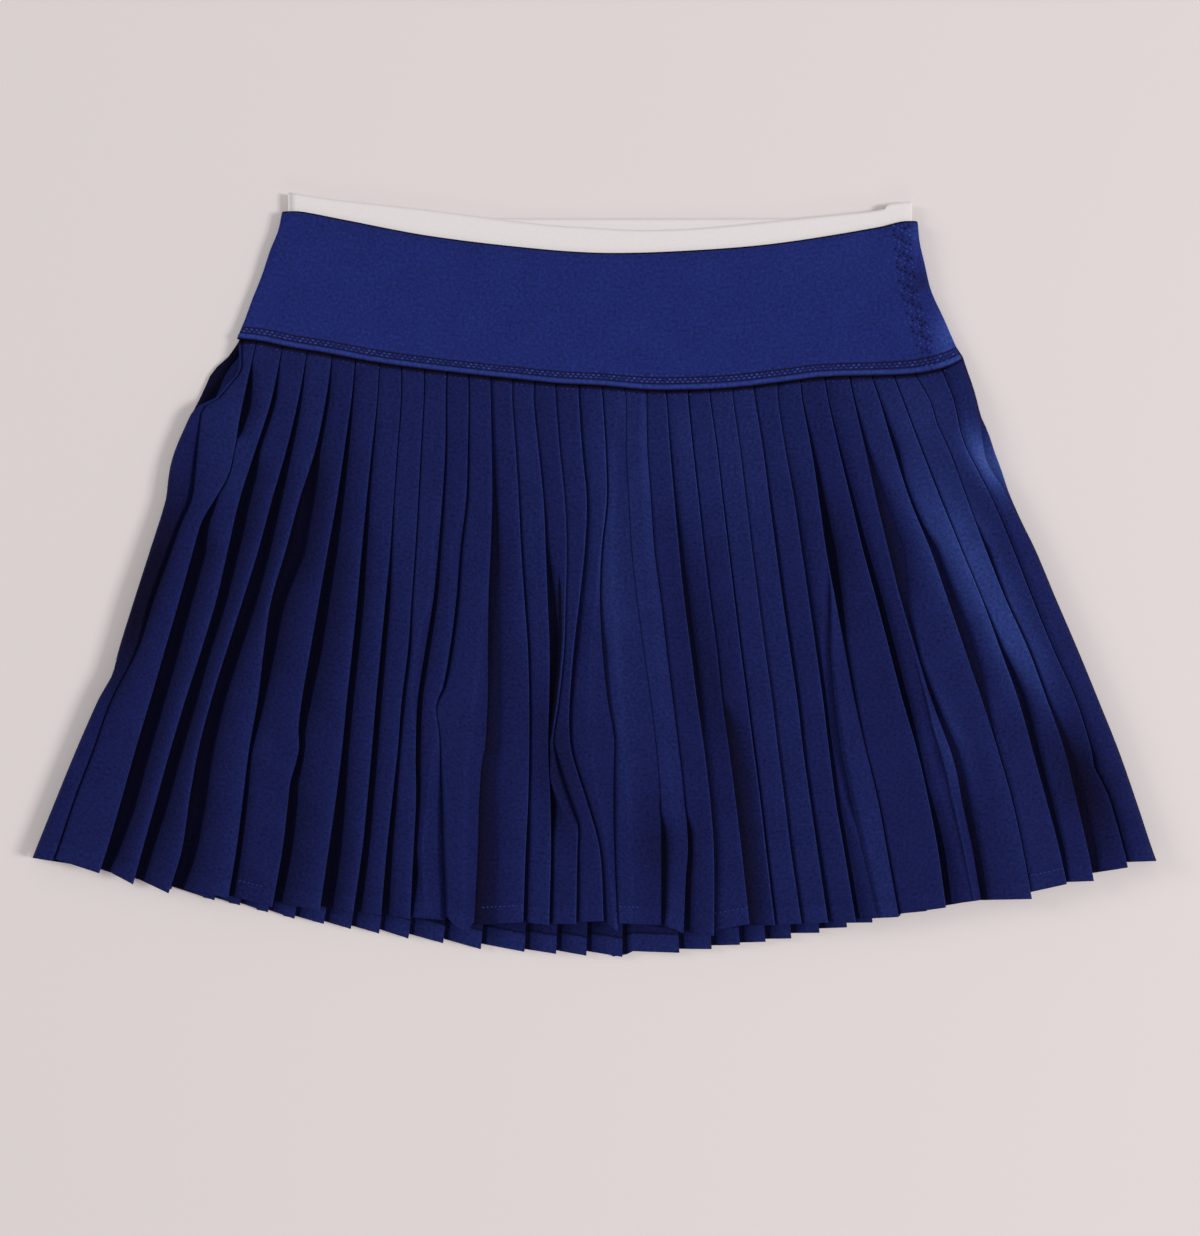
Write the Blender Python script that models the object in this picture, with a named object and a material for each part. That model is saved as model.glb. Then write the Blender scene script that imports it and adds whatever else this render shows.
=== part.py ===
"""Tennis skirt lying flat: a smooth knit yoke, a white inner waistband and a knife-pleated skirt.

The skirt is a flattened tube. +Y runs from hem to waist, +Z is up from the surface it lies on, and
the front panel is on top. Every length in the tables is in millimetres.
"""

import bisect
import math

import bmesh
import bpy
import numpy as np

MM = 0.001
COLLECTION = "tennis_skirt"

# Walls and clearances
PLEAT_WALL = 1.1
YOKE_WALL = 1.4
BAND_WALL = 1.0
SEAM_GAP = 0.32
PANEL_GAP = 1.0
LAYER_GAP = 0.6

# Heights of the pleats from inner fold to outer fold
BACK_RISE_SEAM = 2.0
BACK_RISE_HEM = 3.4
FRONT_RISE_SEAM = 2.2
TUCK_SEAM = 5.4
TUCK_SHARE = 0.46
TUCK_LEAST = 2.2
BACK_TUCK_SHARE = 0.42

# The pleats open fast below the seam: power of the share down at which their height grows
RISE_POWER = 0.7

# The front's side edges: height and inset of the edge itself, then (share of the way across the
# strip beside it, share of the nearest fold's height) for the cloth between
FRONT_EDGE_Z = 2.9
LEFT_EDGE_INSET = 0.5
LEFT_STRIP = ((0.16, 0.45), (0.45, 0.82))
RIGHT_STRIP = ((0.35, 0.75), (0.8, 0.6))

# The back's side edges: height over its lowest points at the edge, and of the strip's bulge
BACK_EDGE_RISE = 0.3
BACK_BULGE_SEAM = 0.5
BACK_BULGE_HEM = 1.1
BACK_FIRST_SHARE = 0.25
BACK_RIGHT_SHARE = 0.7
BACK_RIGHT_INSET = 0.4
BACK_RIGHT_RISE = 0.9

# The tables give the outlines at the surface it lies on. Higher cloth lies nearer the middle.
MIDDLE = (3.1, -22.9)
DRAWN_IN_PER_MM = 1 / 680

# Rows of each pleated panel, as shares of the way from the yoke seam to the hem
PLEAT_ROWS = (0.0, 0.1, 0.22, 0.36, 0.5, 0.64, 0.76, 0.88, 1.0)

# Heights in Y at which the tables give a fold's X between the seam and the hem
STATIONS = (90.5, 38.5, -13.5, -65.5, -117.5)

# The front's 31 outer folds, left to right. seam: X at the yoke seam. a to e: X at STATIONS.
# hem, hem_y: where the fold's corner lies at the hem. rise: height of the pleat at the hem.
FRONT_FOLDS = (
    # seam      a       b       c       d       e       hem     hem_y  rise
    (-175.2, -182.0, -197.1, -215.8, -230.4, -246.0, -254.3, -155.5, 5.5),
    (-161.7, -167.4, -184.1, -196.0, -212.2, -227.8, -237.1, -161.2, 5.5),
    (-148.7, -153.4, -167.4, -182.0, -198.6, -209.0, -216.8, -165.9, 5.5),
    (-135.7, -139.1, -152.9, -167.4, -174.7, -182.0, -188.8, -168.0, 4.5),
    (-123.8, -125.8, -133.4, -142.5, -151.8, -159.1, -163.8, -170.3, 5.0),
    (-111.3, -112.3, -117.8, -122.7, -128.2, -134.2, -142.0, -171.8, 5.0),
    (-99.8, -100.1, -103.7, -108.2, -112.8, -117.5, -124.8, -173.7, 4.5),
    (-87.9, -88.1, -91.0, -94.6, -99.8, -104.5, -110.2, -175.0, 4.2),
    (-76.4, -76.7, -78.5, -82.4, -90.0, -92.0, -95.2, -177.1, 4.2),
    (-65.0, -64.7, -65.8, -71.2, -80.6, -78.5, -76.4, -179.4, 4.2),
    (-53.6, -53.3, -52.5, -54.3, -54.6, -59.3, -61.9, -184.1, 5.5),
    (-42.1, -42.1, -38.7, -35.9, -33.3, -33.8, -35.9, -181.5, 4.0),
    (-30.7, -30.9, -25.7, -23.7, -22.9, -22.4, -22.9, -182.5, 4.5),
    (-19.8, -19.5, -14.8, -14.3, -17.7, -12.0, -8.8, -181.0, 4.0),
    (-7.8, -7.5, -3.4, -7.0, -12.0, -4.2, 6.2, -180.4, 3.8),
    (4.2, 4.9, 6.8, 3.6, 7.5, 10.4, 13.0, -185.1, 4.0),
    (16.1, 17.2, 18.5, 22.9, 29.9, 35.4, 35.4, -182.0, 4.5),
    (27.6, 27.8, 30.2, 35.6, 41.9, 47.8, 47.3, -186.2, 4.2),
    (38.2, 38.6, 42.4, 47.8, 54.1, 60.8, 62.9, -188.8, 5.0),
    (49.4, 49.6, 54.9, 60.8, 66.8, 73.8, 81.6, -183.0, 4.0),
    (60.6, 61.4, 67.3, 73.8, 80.1, 87.1, 94.6, -183.0, 4.0),
    (72.3, 72.8, 79.6, 86.1, 93.3, 99.6, 108.4, -183.0, 4.0),
    (83.2, 84.2, 91.8, 98.8, 106.1, 112.8, 122.2, -182.5, 4.0),
    (95.7, 96.4, 104.5, 112.1, 119.6, 126.4, 136.8, -182.3, 4.5),
    (107.6, 109.0, 118.0, 125.8, 136.8, 148.5, 159.1, -178.4, 4.0),
    (120.1, 122.2, 134.2, 148.2, 161.2, 174.7, 183.6, -173.7, 4.5),
    (132.8, 135.7, 147.9, 160.4, 174.7, 192.9, 200.7, -173.9, 5.0),
    (144.6, 149.0, 165.4, 184.6, 202.8, 217.9, 228.3, -169.0, 4.5),
    (156.2, 161.3, 181.0, 202.8, 221.5, 236.1, 247.0, -161.7, 4.5),
    (168.6, 174.2, 194.7, 214.2, 236.1, 251.2, 260.5, -159.6, 4.5),
    (181.0, 186.7, 208.5, 228.3, 251.2, 268.3, 278.2, -153.4, 4.5),
)

# The panels' side edges, in the same columns. rise is not used.
LEFT_ROLL = (-183.6, -198.6, -210.1, -229.8, -251.7, -270.9, -281.8, -148.7, 0.0)
LEFT_OUTLINE = (-184.1, -205.4, -222.6, -238.9, -257.7, -279.8, -291.7, -147.7, 0.0)
RIGHT_OUTLINE = (191.4, 199.2, 217.4, 240.5, 262.5, 281.7, 292.2, -149.5, 0.0)

# The back's 31 folds at the hem, left to right: X and Y. At the seam they are evenly spaced.
BACK_HEM = (
    (-264.7, -155.0), (-241.3, -161.7), (-219.4, -165.9), (-197.6, -169.5),
    (-184.6, -172.1), (-170.0, -175.8), (-156.0, -178.9), (-140.9, -182.0),
    (-126.9, -184.6), (-111.8, -187.2), (-96.7, -189.3), (-78.5, -191.9),
    (-58.8, -195.0), (-36.4, -196.6), (-19.8, -197.6), (-3.6, -198.2),
    (14.6, -198.6), (44.7, -197.1), (60.8, -195.0), (75.9, -192.9),
    (88.9, -191.4), (102.4, -189.8), (117.0, -186.7), (131.0, -184.1),
    (144.6, -181.5), (159.1, -178.4), (173.2, -175.8), (192.9, -171.1),
    (216.3, -165.9), (242.3, -159.1), (265.7, -152.9),
)
BACK_SEAM_FIRST = -173.0
BACK_SEAM_STEP = 11.85
BACK_SPREAD_POWER = 0.92

# How much higher a tooth of the hem starts than the corner before it ended
HEM_STEP_LEFT = 3.1
HEM_STEP_RIGHT = 1.6

# The yoke's front outline: (X, Y) along its top edge and along the seam to the pleats
YOKE_TOP = (
    (-162.2, 188.2), (-152.9, 188.8), (-132.1, 184.6), (-85.3, 175.8), (-28.1, 169.0),
    (8.3, 166.9), (55.1, 168.5), (96.7, 172.1), (148.7, 180.4), (168.0, 183.6),
)
YOKE_SEAM = (
    (-184.1, 121.7), (-158.0, 117.5), (-111.3, 109.9), (-74.9, 104.6), (-38.5, 100.0),
    (3.1, 97.2), (29.1, 95.6), (55.1, 95.6), (85.0, 97.6), (118.6, 101.2), (150.0, 103.8),
    (170.0, 106.8), (191.4, 112.8),
)
# The yoke's side edges: (share of the way down, X of the left edge, X of the right edge)
YOKE_SIDES = (
    (0.0, -162.2, 168.0), (0.2, -165.4, 169.3), (0.4, -169.8, 174.0),
    (0.6, -174.0, 179.2), (0.8, -179.0, 185.8), (1.0, -184.1, 191.4),
)
YOKE_ROWS = (0.0, 0.14, 0.3, 0.5, 0.7, 0.86, 0.93, 1.0)
BACK_TOP_LIFT = 6.0
SIDE_SEAM_IN_TOP = 4.9
SIDE_SEAM_IN_SEAM = 18.0
YOKE_BACK_Z = 0.7
# Height of the yoke's front: (share of the way down, Z)
YOKE_FRONT_Z = ((0.0, 5.6), (0.25, 5.6), (0.55, 4.9), (0.85, 4.9), (1.0, 5.4))
YOKE_TURN_LEAST = 0.8
BACK_SEAM_LIFT = 2.5
YOKE_FLAT_STEPS = 22
YOKE_WRAP_STEPS = 3
TURN_STEPS = 3

# The inner waistband: (X, Y) of its front top edge, and its other sizes
BAND_TOP = (
    (-159.1, 198.6), (-143.0, 195.6), (-125.8, 193.5), (-110.2, 191.9), (-85.3, 189.0),
    (-28.1, 181.8), (3.6, 179.6), (25.0, 178.8), (55.1, 179.7), (96.7, 183.7),
    (128.4, 186.9), (151.3, 189.8), (165.4, 193.0),
)
BAND_BACK_TOP_Y = 184.8
BAND_BACK_BLEND = 42.0
BAND_LEFT = -159.2
BAND_RIGHT = 165.2
BAND_TUCKED = 13.0
BAND_BACK_Z = 2.35
BAND_FRONT_Z = 3.95
BAND_ROWS = (0.0, 0.35, 0.7, 1.0)
BAND_FLAT_STEPS = 16

SEAM, HEM_X, HEM_Y, RISE = 0, 6, 7, 8


def curve(points, at):
    """A smooth line through (x, y) points, read at x. It is level with its neighbours' slope."""
    xs = [p[0] for p in points]
    ys = [p[1] for p in points]
    at = min(max(at, xs[0]), xs[-1])
    i = min(max(bisect.bisect_right(xs, at) - 1, 0), len(xs) - 2)

    def slope(j):
        low, high = max(j - 1, 0), min(j + 1, len(xs) - 1)
        return (ys[high] - ys[low]) / (xs[high] - xs[low])

    width = xs[i + 1] - xs[i]
    t = (at - xs[i]) / width
    start = (2 * t**3 - 3 * t**2 + 1) * ys[i] + (t**3 - 2 * t**2 + t) * width * slope(i)
    end = (3 * t**2 - 2 * t**3) * ys[i + 1] + (t**3 - t**2) * width * slope(i + 1)
    return start + end


def seam_y(x, back=False):
    """Y of the yoke seam on the front, or on the back, where it hangs straighter."""
    lift = BACK_SEAM_LIFT * side_bulge(x, YOKE_SEAM) if back else 0.0
    return curve(YOKE_SEAM, x) + lift


def side_bulge(x, edge):
    """1 at the middle of an edge and 0 at its ends."""
    left, right = edge[0][0], edge[-1][0]
    q = min(max((2 * x - left - right) / (right - left), -1.0), 1.0)
    return 1 - q * q


def mix(a, b, share):
    return a + (b - a) * share


def fold_point(row, f, back=False):
    """X and Y of a table row's fold at share f of the way from the seam to the hem."""
    top = seam_y(row[SEAM], back) - PANEL_GAP
    y = mix(top, row[HEM_Y], f)
    path = [(row[HEM_Y], row[HEM_X])]
    path += [(s, row[i + 1]) for i, s in reversed(list(enumerate(STATIONS)))]
    path.append((top, row[SEAM]))
    return curve(path, y), y


def back_fold_point(k, f):
    """X and Y of the back's fold k at share f of the way down."""
    hem_x, hem_y = BACK_HEM[k]
    start = BACK_SEAM_FIRST + k * BACK_SEAM_STEP
    top = seam_y(start, True) - PANEL_GAP
    return mix(start, hem_x, f**BACK_SPREAD_POWER), mix(top, hem_y, f)


def tuck(before, after, share):
    """How far a pleat's inner fold lies left of its outer fold."""
    loose = max(share * min(before, after), TUCK_LEAST)
    return min(loose, TUCK_SEAM)


def inner_point(x, y, depth, f, back):
    """X and Y of the inner fold beside an outer fold: along the seam at the top, a step up at the hem."""
    along = seam_y(x - depth, back) - seam_y(x, back)
    step = HEM_STEP_LEFT if x < 0 else HEM_STEP_RIGHT
    return x - depth, y + (1 - f) ** 3 * along + f**4 * step


def base_height(f):
    """Height of the front panel's inner folds, which clear the back panel's folds."""
    back_top = PLEAT_WALL + mix(BACK_RISE_SEAM, BACK_RISE_HEM, f)
    return back_top + LAYER_GAP + PLEAT_WALL / 2


def front_section(f):
    """The front panel's middle line at share f: (x, y, z, kind) from the left roll to the right edge."""
    base = base_height(f)
    left = fold_point(LEFT_ROLL, f)
    right = fold_point(RIGHT_OUTLINE, f)
    folds = [fold_point(row, f) for row in FRONT_FOLDS]
    rises = [mix(FRONT_RISE_SEAM, row[RISE], f**RISE_POWER) for row in FRONT_FOLDS]
    first_x = folds[0][0]
    points = [(left[0] + LEFT_EDGE_INSET, left[1], FRONT_EDGE_Z, "end")]
    for across, up in LEFT_STRIP:
        points.append((mix(left[0], first_x, across), left[1], base + up * rises[0], "soft"))
    for k, (x, y) in enumerate(folds):
        before = x - (folds[k - 1][0] if k else left[0])
        after = (folds[k + 1][0] if k + 1 < len(folds) else right[0]) - x
        depth = tuck(before, after, TUCK_SHARE)
        points.append((x, y, base + rises[k], "outer"))
        points.append((*inner_point(x, y, depth, f, False), base, "inner"))
    last_x, last_y = folds[-1]
    for across, up in RIGHT_STRIP:
        x, y = mix(last_x, right[0], across), mix(last_y, right[1], across)
        points.append((x, y, base + up * rises[-1], "soft"))
    points.append((right[0] - PLEAT_WALL / 2, right[1], FRONT_EDGE_Z, "end"))
    return points


def back_section(f):
    """The back panel's middle line at share f, from the left outline to the right edge."""
    floor = PLEAT_WALL / 2
    rise = mix(BACK_RISE_SEAM, BACK_RISE_HEM, f)
    outline = fold_point(LEFT_OUTLINE, f, True)
    roll = fold_point(LEFT_ROLL, f, True)
    right = fold_point(RIGHT_OUTLINE, f, True)
    folds = [back_fold_point(k, f) for k in range(len(BACK_HEM))]
    inside = mix(roll[0], folds[0][0], BACK_FIRST_SHARE)
    bulge = mix(BACK_BULGE_SEAM, BACK_BULGE_HEM, f)
    points = [
        (outline[0], outline[1], floor + BACK_EDGE_RISE, "end"),
        (mix(outline[0], inside, 0.5), outline[1], floor + bulge, "soft"),
        (inside, mix(outline[1], folds[0][1], 0.5), floor, "soft"),
    ]
    for k, (x, y) in enumerate(folds):
        before = x - (folds[k - 1][0] if k else inside)
        after = (folds[k + 1][0] if k + 1 < len(folds) else right[0]) - x
        depth = tuck(before, after, BACK_TUCK_SHARE)
        points.append((x, y, floor + rise, "outer"))
        points.append((*inner_point(x, y, depth, f, True), floor, "inner"))
    last_x, last_y = folds[-1]
    flat_x, flat_y = mix(last_x, right[0], BACK_RIGHT_SHARE), mix(last_y, right[1], BACK_RIGHT_SHARE)
    points.append((flat_x, flat_y, floor, "soft"))
    points.append((right[0] - BACK_RIGHT_INSET, right[1], floor + BACK_RIGHT_RISE, "end"))
    return points


def unit(a, b):
    dx, dz = b[0] - a[0], b[2] - a[2]
    length = math.hypot(dx, dz)
    return dx / length, dz / length, length


def slid(point, beside, dx):
    """Y at a distance dx from a point, on the way to the point beside it."""
    return mix(point[1], beside[1], min(abs(dx) / max(abs(beside[0] - point[0]), 0.1), 1.0))


def thicken(points, wall):
    """Both sides of a middle line, as two lists of points: above it and below it, walked left to right.

    A sharp fold has two points on its outside and one, where its walls meet, on its inside.
    """
    half = wall / 2
    over, under = [], []
    for i, (x, y, z, kind) in enumerate(points):
        if kind == "end":
            a = unit(points[0], points[1]) if i == 0 else unit(points[-2], points[-1])
            over.append((x - a[1] * half, y, z + a[0] * half))
            under.append((x + a[1] * half, y, z - a[0] * half))
            continue
        a = unit(points[i - 1], points[i])
        b = unit(points[i], points[i + 1])
        na, nb = (-a[1], a[0]), (-b[1], b[0])
        meet = 1 + na[0] * nb[0] + na[1] * nb[1]
        bisector = (na[0] + nb[0], na[1] + nb[1])
        size = math.hypot(*bisector)
        reach = min(half * size / meet, 0.7 * min(a[2], b[2]))
        inward = (bisector[0] / size * reach, bisector[1] / size * reach)
        if kind == "soft":
            over.append((x + inward[0], y, z + inward[1]))
            under.append((x - inward[0], y, z - inward[1]))
        elif kind == "outer":
            over.append((x + na[0] * half, y, z + na[1] * half))
            over.append((x + nb[0] * half, y, z + nb[1] * half))
            under.append((x - inward[0], slid(points[i], points[i + 1], -inward[0]), z - inward[1]))
        else:
            over.append((x + inward[0], slid(points[i], points[i - 1], inward[0]), z + inward[1]))
            under.append((x - na[0] * half, y, z - na[1] * half))
            under.append((x - nb[0] * half, y, z - nb[1] * half))
    return over, under


def cap_faces(kinds, over_at, under_at):
    """The faces that close one end of a thick section, one for each step of its middle line."""
    faces = []
    o = u = 0
    for kind in kinds[1:]:
        faces.append((over_at[o], over_at[o + 1], under_at[u + 1], under_at[u]))
        o, u = o + 1, u + 1
        if kind == "outer":
            faces.append((over_at[o], over_at[o + 1], under_at[u]))
            o += 1
        elif kind == "inner":
            faces.append((over_at[o], under_at[u + 1], under_at[u]))
            u += 1
    return faces


def loft(name, sections, wall, material):
    """One closed solid through thick open sections that share the same kinds of points."""
    kinds = [p[3] for p in sections[0]]
    sides = [thicken(points, wall) for points in sections]
    bm = bmesh.new()
    rows = []
    for over, under in sides:
        over_at = [bm.verts.new([c * MM for c in p]) for p in over]
        under_at = [bm.verts.new([c * MM for c in p]) for p in under]
        rows.append((over_at, under_at))
    for (over_a, under_a), (over_b, under_b) in zip(rows, rows[1:]):
        ring_a = over_a + under_a[::-1]
        ring_b = over_b + under_b[::-1]
        for i in range(len(ring_a)):
            j = (i + 1) % len(ring_a)
            bm.faces.new((ring_a[i], ring_a[j], ring_b[j], ring_b[i]))
    for over_at, under_at in (rows[0], rows[-1]):
        for corners in cap_faces(kinds, over_at, under_at):
            bm.faces.new(corners)
    return finish(name, bm, material)


def finish(name, bm, material):
    """Triangulates the solid, turns its faces outward and puts it in the collection."""
    bmesh.ops.triangulate(bm, faces=bm.faces[:], quad_method="SHORT_EDGE")
    bmesh.ops.recalc_face_normals(bm, faces=bm.faces[:])
    mesh = bpy.data.meshes.new(name)
    bm.to_mesh(mesh)
    bm.free()
    mesh.materials.append(material)
    mesh.shade_smooth()
    mesh.set_sharp_from_angle(angle=math.radians(35))
    obj = bpy.data.objects.new(name, mesh)
    bpy.data.collections[COLLECTION].objects.link(obj)
    return obj


def side_x(f, side):
    """X of the yoke's left (1) or right (2) edge at share f of the way down."""
    return curve([(row[0], row[side]) for row in YOKE_SIDES], f)


def yoke_y(x, f, back):
    """Y on the yoke's front or back at share f of the way from its top edge to its seam."""
    share = (x - side_x(f, 1)) / (side_x(f, 2) - side_x(f, 1))
    top_x = mix(side_x(0.0, 1), side_x(0.0, 2), share)
    low_x = mix(side_x(1.0, 1), side_x(1.0, 2), share)
    top = curve(YOKE_TOP, top_x)
    if back:
        top += BACK_TOP_LIFT * side_bulge(top_x, YOKE_TOP)
    return mix(top, seam_y(low_x, back), f)


def flat_run(start, stop, steps, z, f, back):
    """Points along a flat part of the yoke, from X start to X stop."""
    xs = [mix(start, stop, i / steps) for i in range(steps + 1)]
    return [(x, yoke_y(x, f, back), z, "soft") for x in xs]


def side_turn(edge, inward, z_from, z_to, f):
    """The turn of the yoke round its side edge, from one height to the other."""
    centre, radius = (z_from + z_to) / 2, abs(z_to - z_from) / 2
    points = []
    for i in range(1, TURN_STEPS + 1):
        angle = math.pi * i / (TURN_STEPS + 1)
        x = edge + inward * radius * (1 - math.sin(angle))
        z = centre + (z_from - centre) * math.cos(angle)
        points.append((x, yoke_y(x, f, False), z, "soft"))
    return points


def with_ends(points):
    first = points[0][:3] + ("end",)
    last = points[-1][:3] + ("end",)
    return [first] + points[1:-1] + [last]


def yoke_section(f, is_front):
    """The yoke's front or back half at share f: a J that wraps one side edge."""
    half = YOKE_WALL / 2
    z_front, z_back = curve(YOKE_FRONT_Z, f), YOKE_BACK_Z
    left = side_x(f, 1) + half
    right = side_x(f, 2) - half
    radius = (z_front - z_back) / 2
    seam_in = mix(SIDE_SEAM_IN_TOP, SIDE_SEAM_IN_SEAM, f)
    turn_in = max(seam_in, radius + YOKE_TURN_LEAST)
    gap = SEAM_GAP / 2
    if is_front:
        points = flat_run(right - turn_in - gap, left + radius, YOKE_FLAT_STEPS, z_front, f, False)
        points += side_turn(left, 1, z_front, z_back, f)
        points += flat_run(left + radius, left + turn_in - gap, YOKE_WRAP_STEPS, z_back, f, True)
    else:
        points = flat_run(left + turn_in + gap, right - radius, YOKE_FLAT_STEPS, z_back, f, True)
        points += side_turn(right, -1, z_back, z_front, f)
        points += flat_run(right - radius, right - turn_in + gap, YOKE_WRAP_STEPS, z_front, f, False)
    return with_ends(points)


def band_y(x, f, back):
    """Y on the inner waistband at share f of the way down."""
    front_top = curve(BAND_TOP, x)
    side = min(x - BAND_LEFT, BAND_RIGHT - x) / BAND_BACK_BLEND
    blend = min(max(side, 0.0), 1.0)
    lifted = max(front_top, mix(front_top, BAND_BACK_TOP_Y, blend * blend * (3 - 2 * blend)))
    top = lifted if back else front_top
    return mix(top, curve(YOKE_TOP, x) - BAND_TUCKED, f)


def band_ring(f):
    """The middle line of the inner waistband, once round, as (x, y, z)."""
    radius = (BAND_FRONT_Z - BAND_BACK_Z) / 2
    middle = (BAND_FRONT_Z + BAND_BACK_Z) / 2
    left = BAND_LEFT + BAND_WALL / 2 + radius
    right = BAND_RIGHT - BAND_WALL / 2 - radius
    xs = [mix(left, right, i / BAND_FLAT_STEPS) for i in range(BAND_FLAT_STEPS + 1)]
    ring = [(x, band_y(x, f, False), BAND_FRONT_Z) for x in xs]
    ring.append((right + radius, band_y(right, f, False), middle))
    ring += [(x, band_y(x, f, True), BAND_BACK_Z) for x in reversed(xs)]
    ring.append((left - radius, band_y(left, f, False), middle))
    return ring


def thicken_ring(ring, wall):
    """Outer and inner loops of a closed middle line."""
    outer, inner = [], []
    for i, (x, y, z) in enumerate(ring):
        a = unit(ring[i - 1], ring[i])
        b = unit(ring[i], ring[(i + 1) % len(ring)])
        nx, nz = -a[1] - b[1], a[0] + b[0]
        scale = wall / (nx * nx + nz * nz)
        outer.append((x + nx * scale, y, z + nz * scale))
        inner.append((x - nx * scale, y, z - nz * scale))
    return outer, inner


def loft_ring(name, rings, wall, material):
    """One closed solid through closed thick sections."""
    bm = bmesh.new()
    rows = []
    for ring in rings:
        loops = thicken_ring(ring, wall)
        rows.append([[bm.verts.new([c * MM for c in p]) for p in loop] for loop in loops])
    count = len(rings[0])
    for i in range(count):
        j = (i + 1) % count
        for above, below in zip(rows, rows[1:]):
            for loop in (0, 1):
                bm.faces.new((above[loop][i], above[loop][j], below[loop][j], below[loop][i]))
        for end in (rows[0], rows[-1]):
            bm.faces.new((end[0][i], end[0][j], end[1][j], end[1][i]))
    return finish(name, bm, material)


def cloth(name, colour, roughness):
    material = bpy.data.materials.new(name)
    material.use_nodes = True
    shader = material.node_tree.nodes["Principled BSDF"]
    shader.inputs["Base Color"].default_value = (*colour, 1.0)
    shader.inputs["Roughness"].default_value = roughness
    shader.inputs["Metallic"].default_value = 0.0
    return material


def draw_in(objects):
    """Moves each point toward the middle by its height."""
    for obj in objects:
        for vertex in obj.data.vertices:
            share = 1 - vertex.co.z / MM * DRAWN_IN_PER_MM
            vertex.co.x = mix(MIDDLE[0] * MM, vertex.co.x, share)
            vertex.co.y = mix(MIDDLE[1] * MM, vertex.co.y, share)


def centre_on_floor(objects):
    """Moves the whole skirt so that its box is centred on the origin and stands on Z = 0."""
    corners = np.array([v.co[:] for obj in objects for v in obj.data.vertices])
    low, high = corners.min(axis=0), corners.max(axis=0)
    shift = (-(low[0] + high[0]) / 2, -(low[1] + high[1]) / 2, -low[2])
    for obj in objects:
        for vertex in obj.data.vertices:
            vertex.co = [c + s for c, s in zip(vertex.co, shift)]


def main():
    for obj in list(bpy.data.objects):
        bpy.data.objects.remove(obj, do_unlink=True)
    collection = bpy.data.collections.new(COLLECTION)
    bpy.context.scene.collection.children.link(collection)
    knit = cloth("yoke_knit", (0.016, 0.022, 0.125), 0.75)
    woven = cloth("pleat_cloth", (0.009, 0.011, 0.062), 0.7)
    elastic = cloth("white_elastic", (0.78, 0.76, 0.75), 0.8)
    made = [
        loft("skirt_back", [back_section(f) for f in PLEAT_ROWS], PLEAT_WALL, woven),
        loft("skirt_front", [front_section(f) for f in PLEAT_ROWS], PLEAT_WALL, woven),
        loft("yoke_back", [yoke_section(f, False) for f in YOKE_ROWS], YOKE_WALL, knit),
        loft("yoke_front", [yoke_section(f, True) for f in YOKE_ROWS], YOKE_WALL, knit),
        loft_ring("inner_band", [band_ring(f) for f in BAND_ROWS], BAND_WALL, elastic),
    ]
    draw_in(made)
    centre_on_floor(made)


main()
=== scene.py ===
import bisect
import math
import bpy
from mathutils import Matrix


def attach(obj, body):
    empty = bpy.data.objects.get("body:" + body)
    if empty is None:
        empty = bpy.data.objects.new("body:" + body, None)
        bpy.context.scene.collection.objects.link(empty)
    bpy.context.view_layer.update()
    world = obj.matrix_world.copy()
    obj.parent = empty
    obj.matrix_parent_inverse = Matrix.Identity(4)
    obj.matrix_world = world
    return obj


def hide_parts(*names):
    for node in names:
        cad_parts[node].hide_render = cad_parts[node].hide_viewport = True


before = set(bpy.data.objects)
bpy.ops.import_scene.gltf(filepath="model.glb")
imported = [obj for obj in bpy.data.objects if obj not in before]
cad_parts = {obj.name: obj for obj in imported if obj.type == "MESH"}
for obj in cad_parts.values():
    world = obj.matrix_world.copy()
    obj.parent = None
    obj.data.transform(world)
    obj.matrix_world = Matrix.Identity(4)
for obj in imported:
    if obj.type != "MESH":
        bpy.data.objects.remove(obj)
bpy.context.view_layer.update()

from types import SimpleNamespace

import bpy
import numpy as np
from mathutils import Vector

MM = 0.001


def line(points):
    """Rows of a place and its value."""
    return tuple(points.items())


def down(table):
    """A line down each fold of a table."""
    return {fold: line(points) for fold, points in table.items()}


# ---------------------------------------------------------------- sizes, all in millimetres
# Thickness of the woven cloth, the yoke's knit and the band, and how sharp a fold is.
CLOTH, KNIT, ELASTIC, NOSE = 0.4, 0.9, 0.9, 0.42
# A fold's drawn line runs in its shade, this far right of its edge, in grid squares.
FOLD_EDGE = 1.3

# Heights of the panels from seam to hem: share of the way down, height.
FRONT_TOP = ((-0.02, 4.5), (0, 5.1), (0.02, 6.4), (0.06, 7.5), (0.2, 8.9), (0.5, 10.3), (1, 10.9))
FRONT_LEAST = ((-0.02, 2.9), (0, 3.1), (0.2, 3.6), (1, 4.1))
BACK_TOP = ((-0.02, 1.8), (0, 2), (0.2, 2.5), (1, 3.3))
BACK_LOW = 0.45
DEPTH_LEAST, DEPTH_PER_GAP, DEPTH_MOST = 1.9, 0.36, 6.6
# The folds past number FOLDS_LEFT are pressed flatter near the seam. Those up to it have this painted
# highlight along their folds' edges.
DEPTH_SEAM, FOLDS_LEFT, TONE_NOSE_LEFT = 1.25, 11, 1.35
# How light a face starts beside a closed fold and a wide open one, what opening counts as wide, and
# how light it is towards the next fold: painted shade beside the fold. A fold's edge that falls is softer,
# and so has less painted highlight. A fold this deep gives its full painted shade.
NEAR_CLOSED, NEAR_OPEN, OPEN_GAP, FAR_TONE = 1.05, 0.6, 14.0, 1.05
FALL_TONE, DARK_DEPTH = 0.95, 4.0
# How far one pleat's light strays from the next one's, and the waves that this follows.
PLEAT_STRAY, STRAY_STEP, STRAY_WARP, STRAY_WARP_STEP = 0.07, 2.4, 1.7, 5.1
# The flatter pressed part ends at this y and fades out over this length.
PRESSED_TO, PRESSED_FADE = 440, 120
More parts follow.
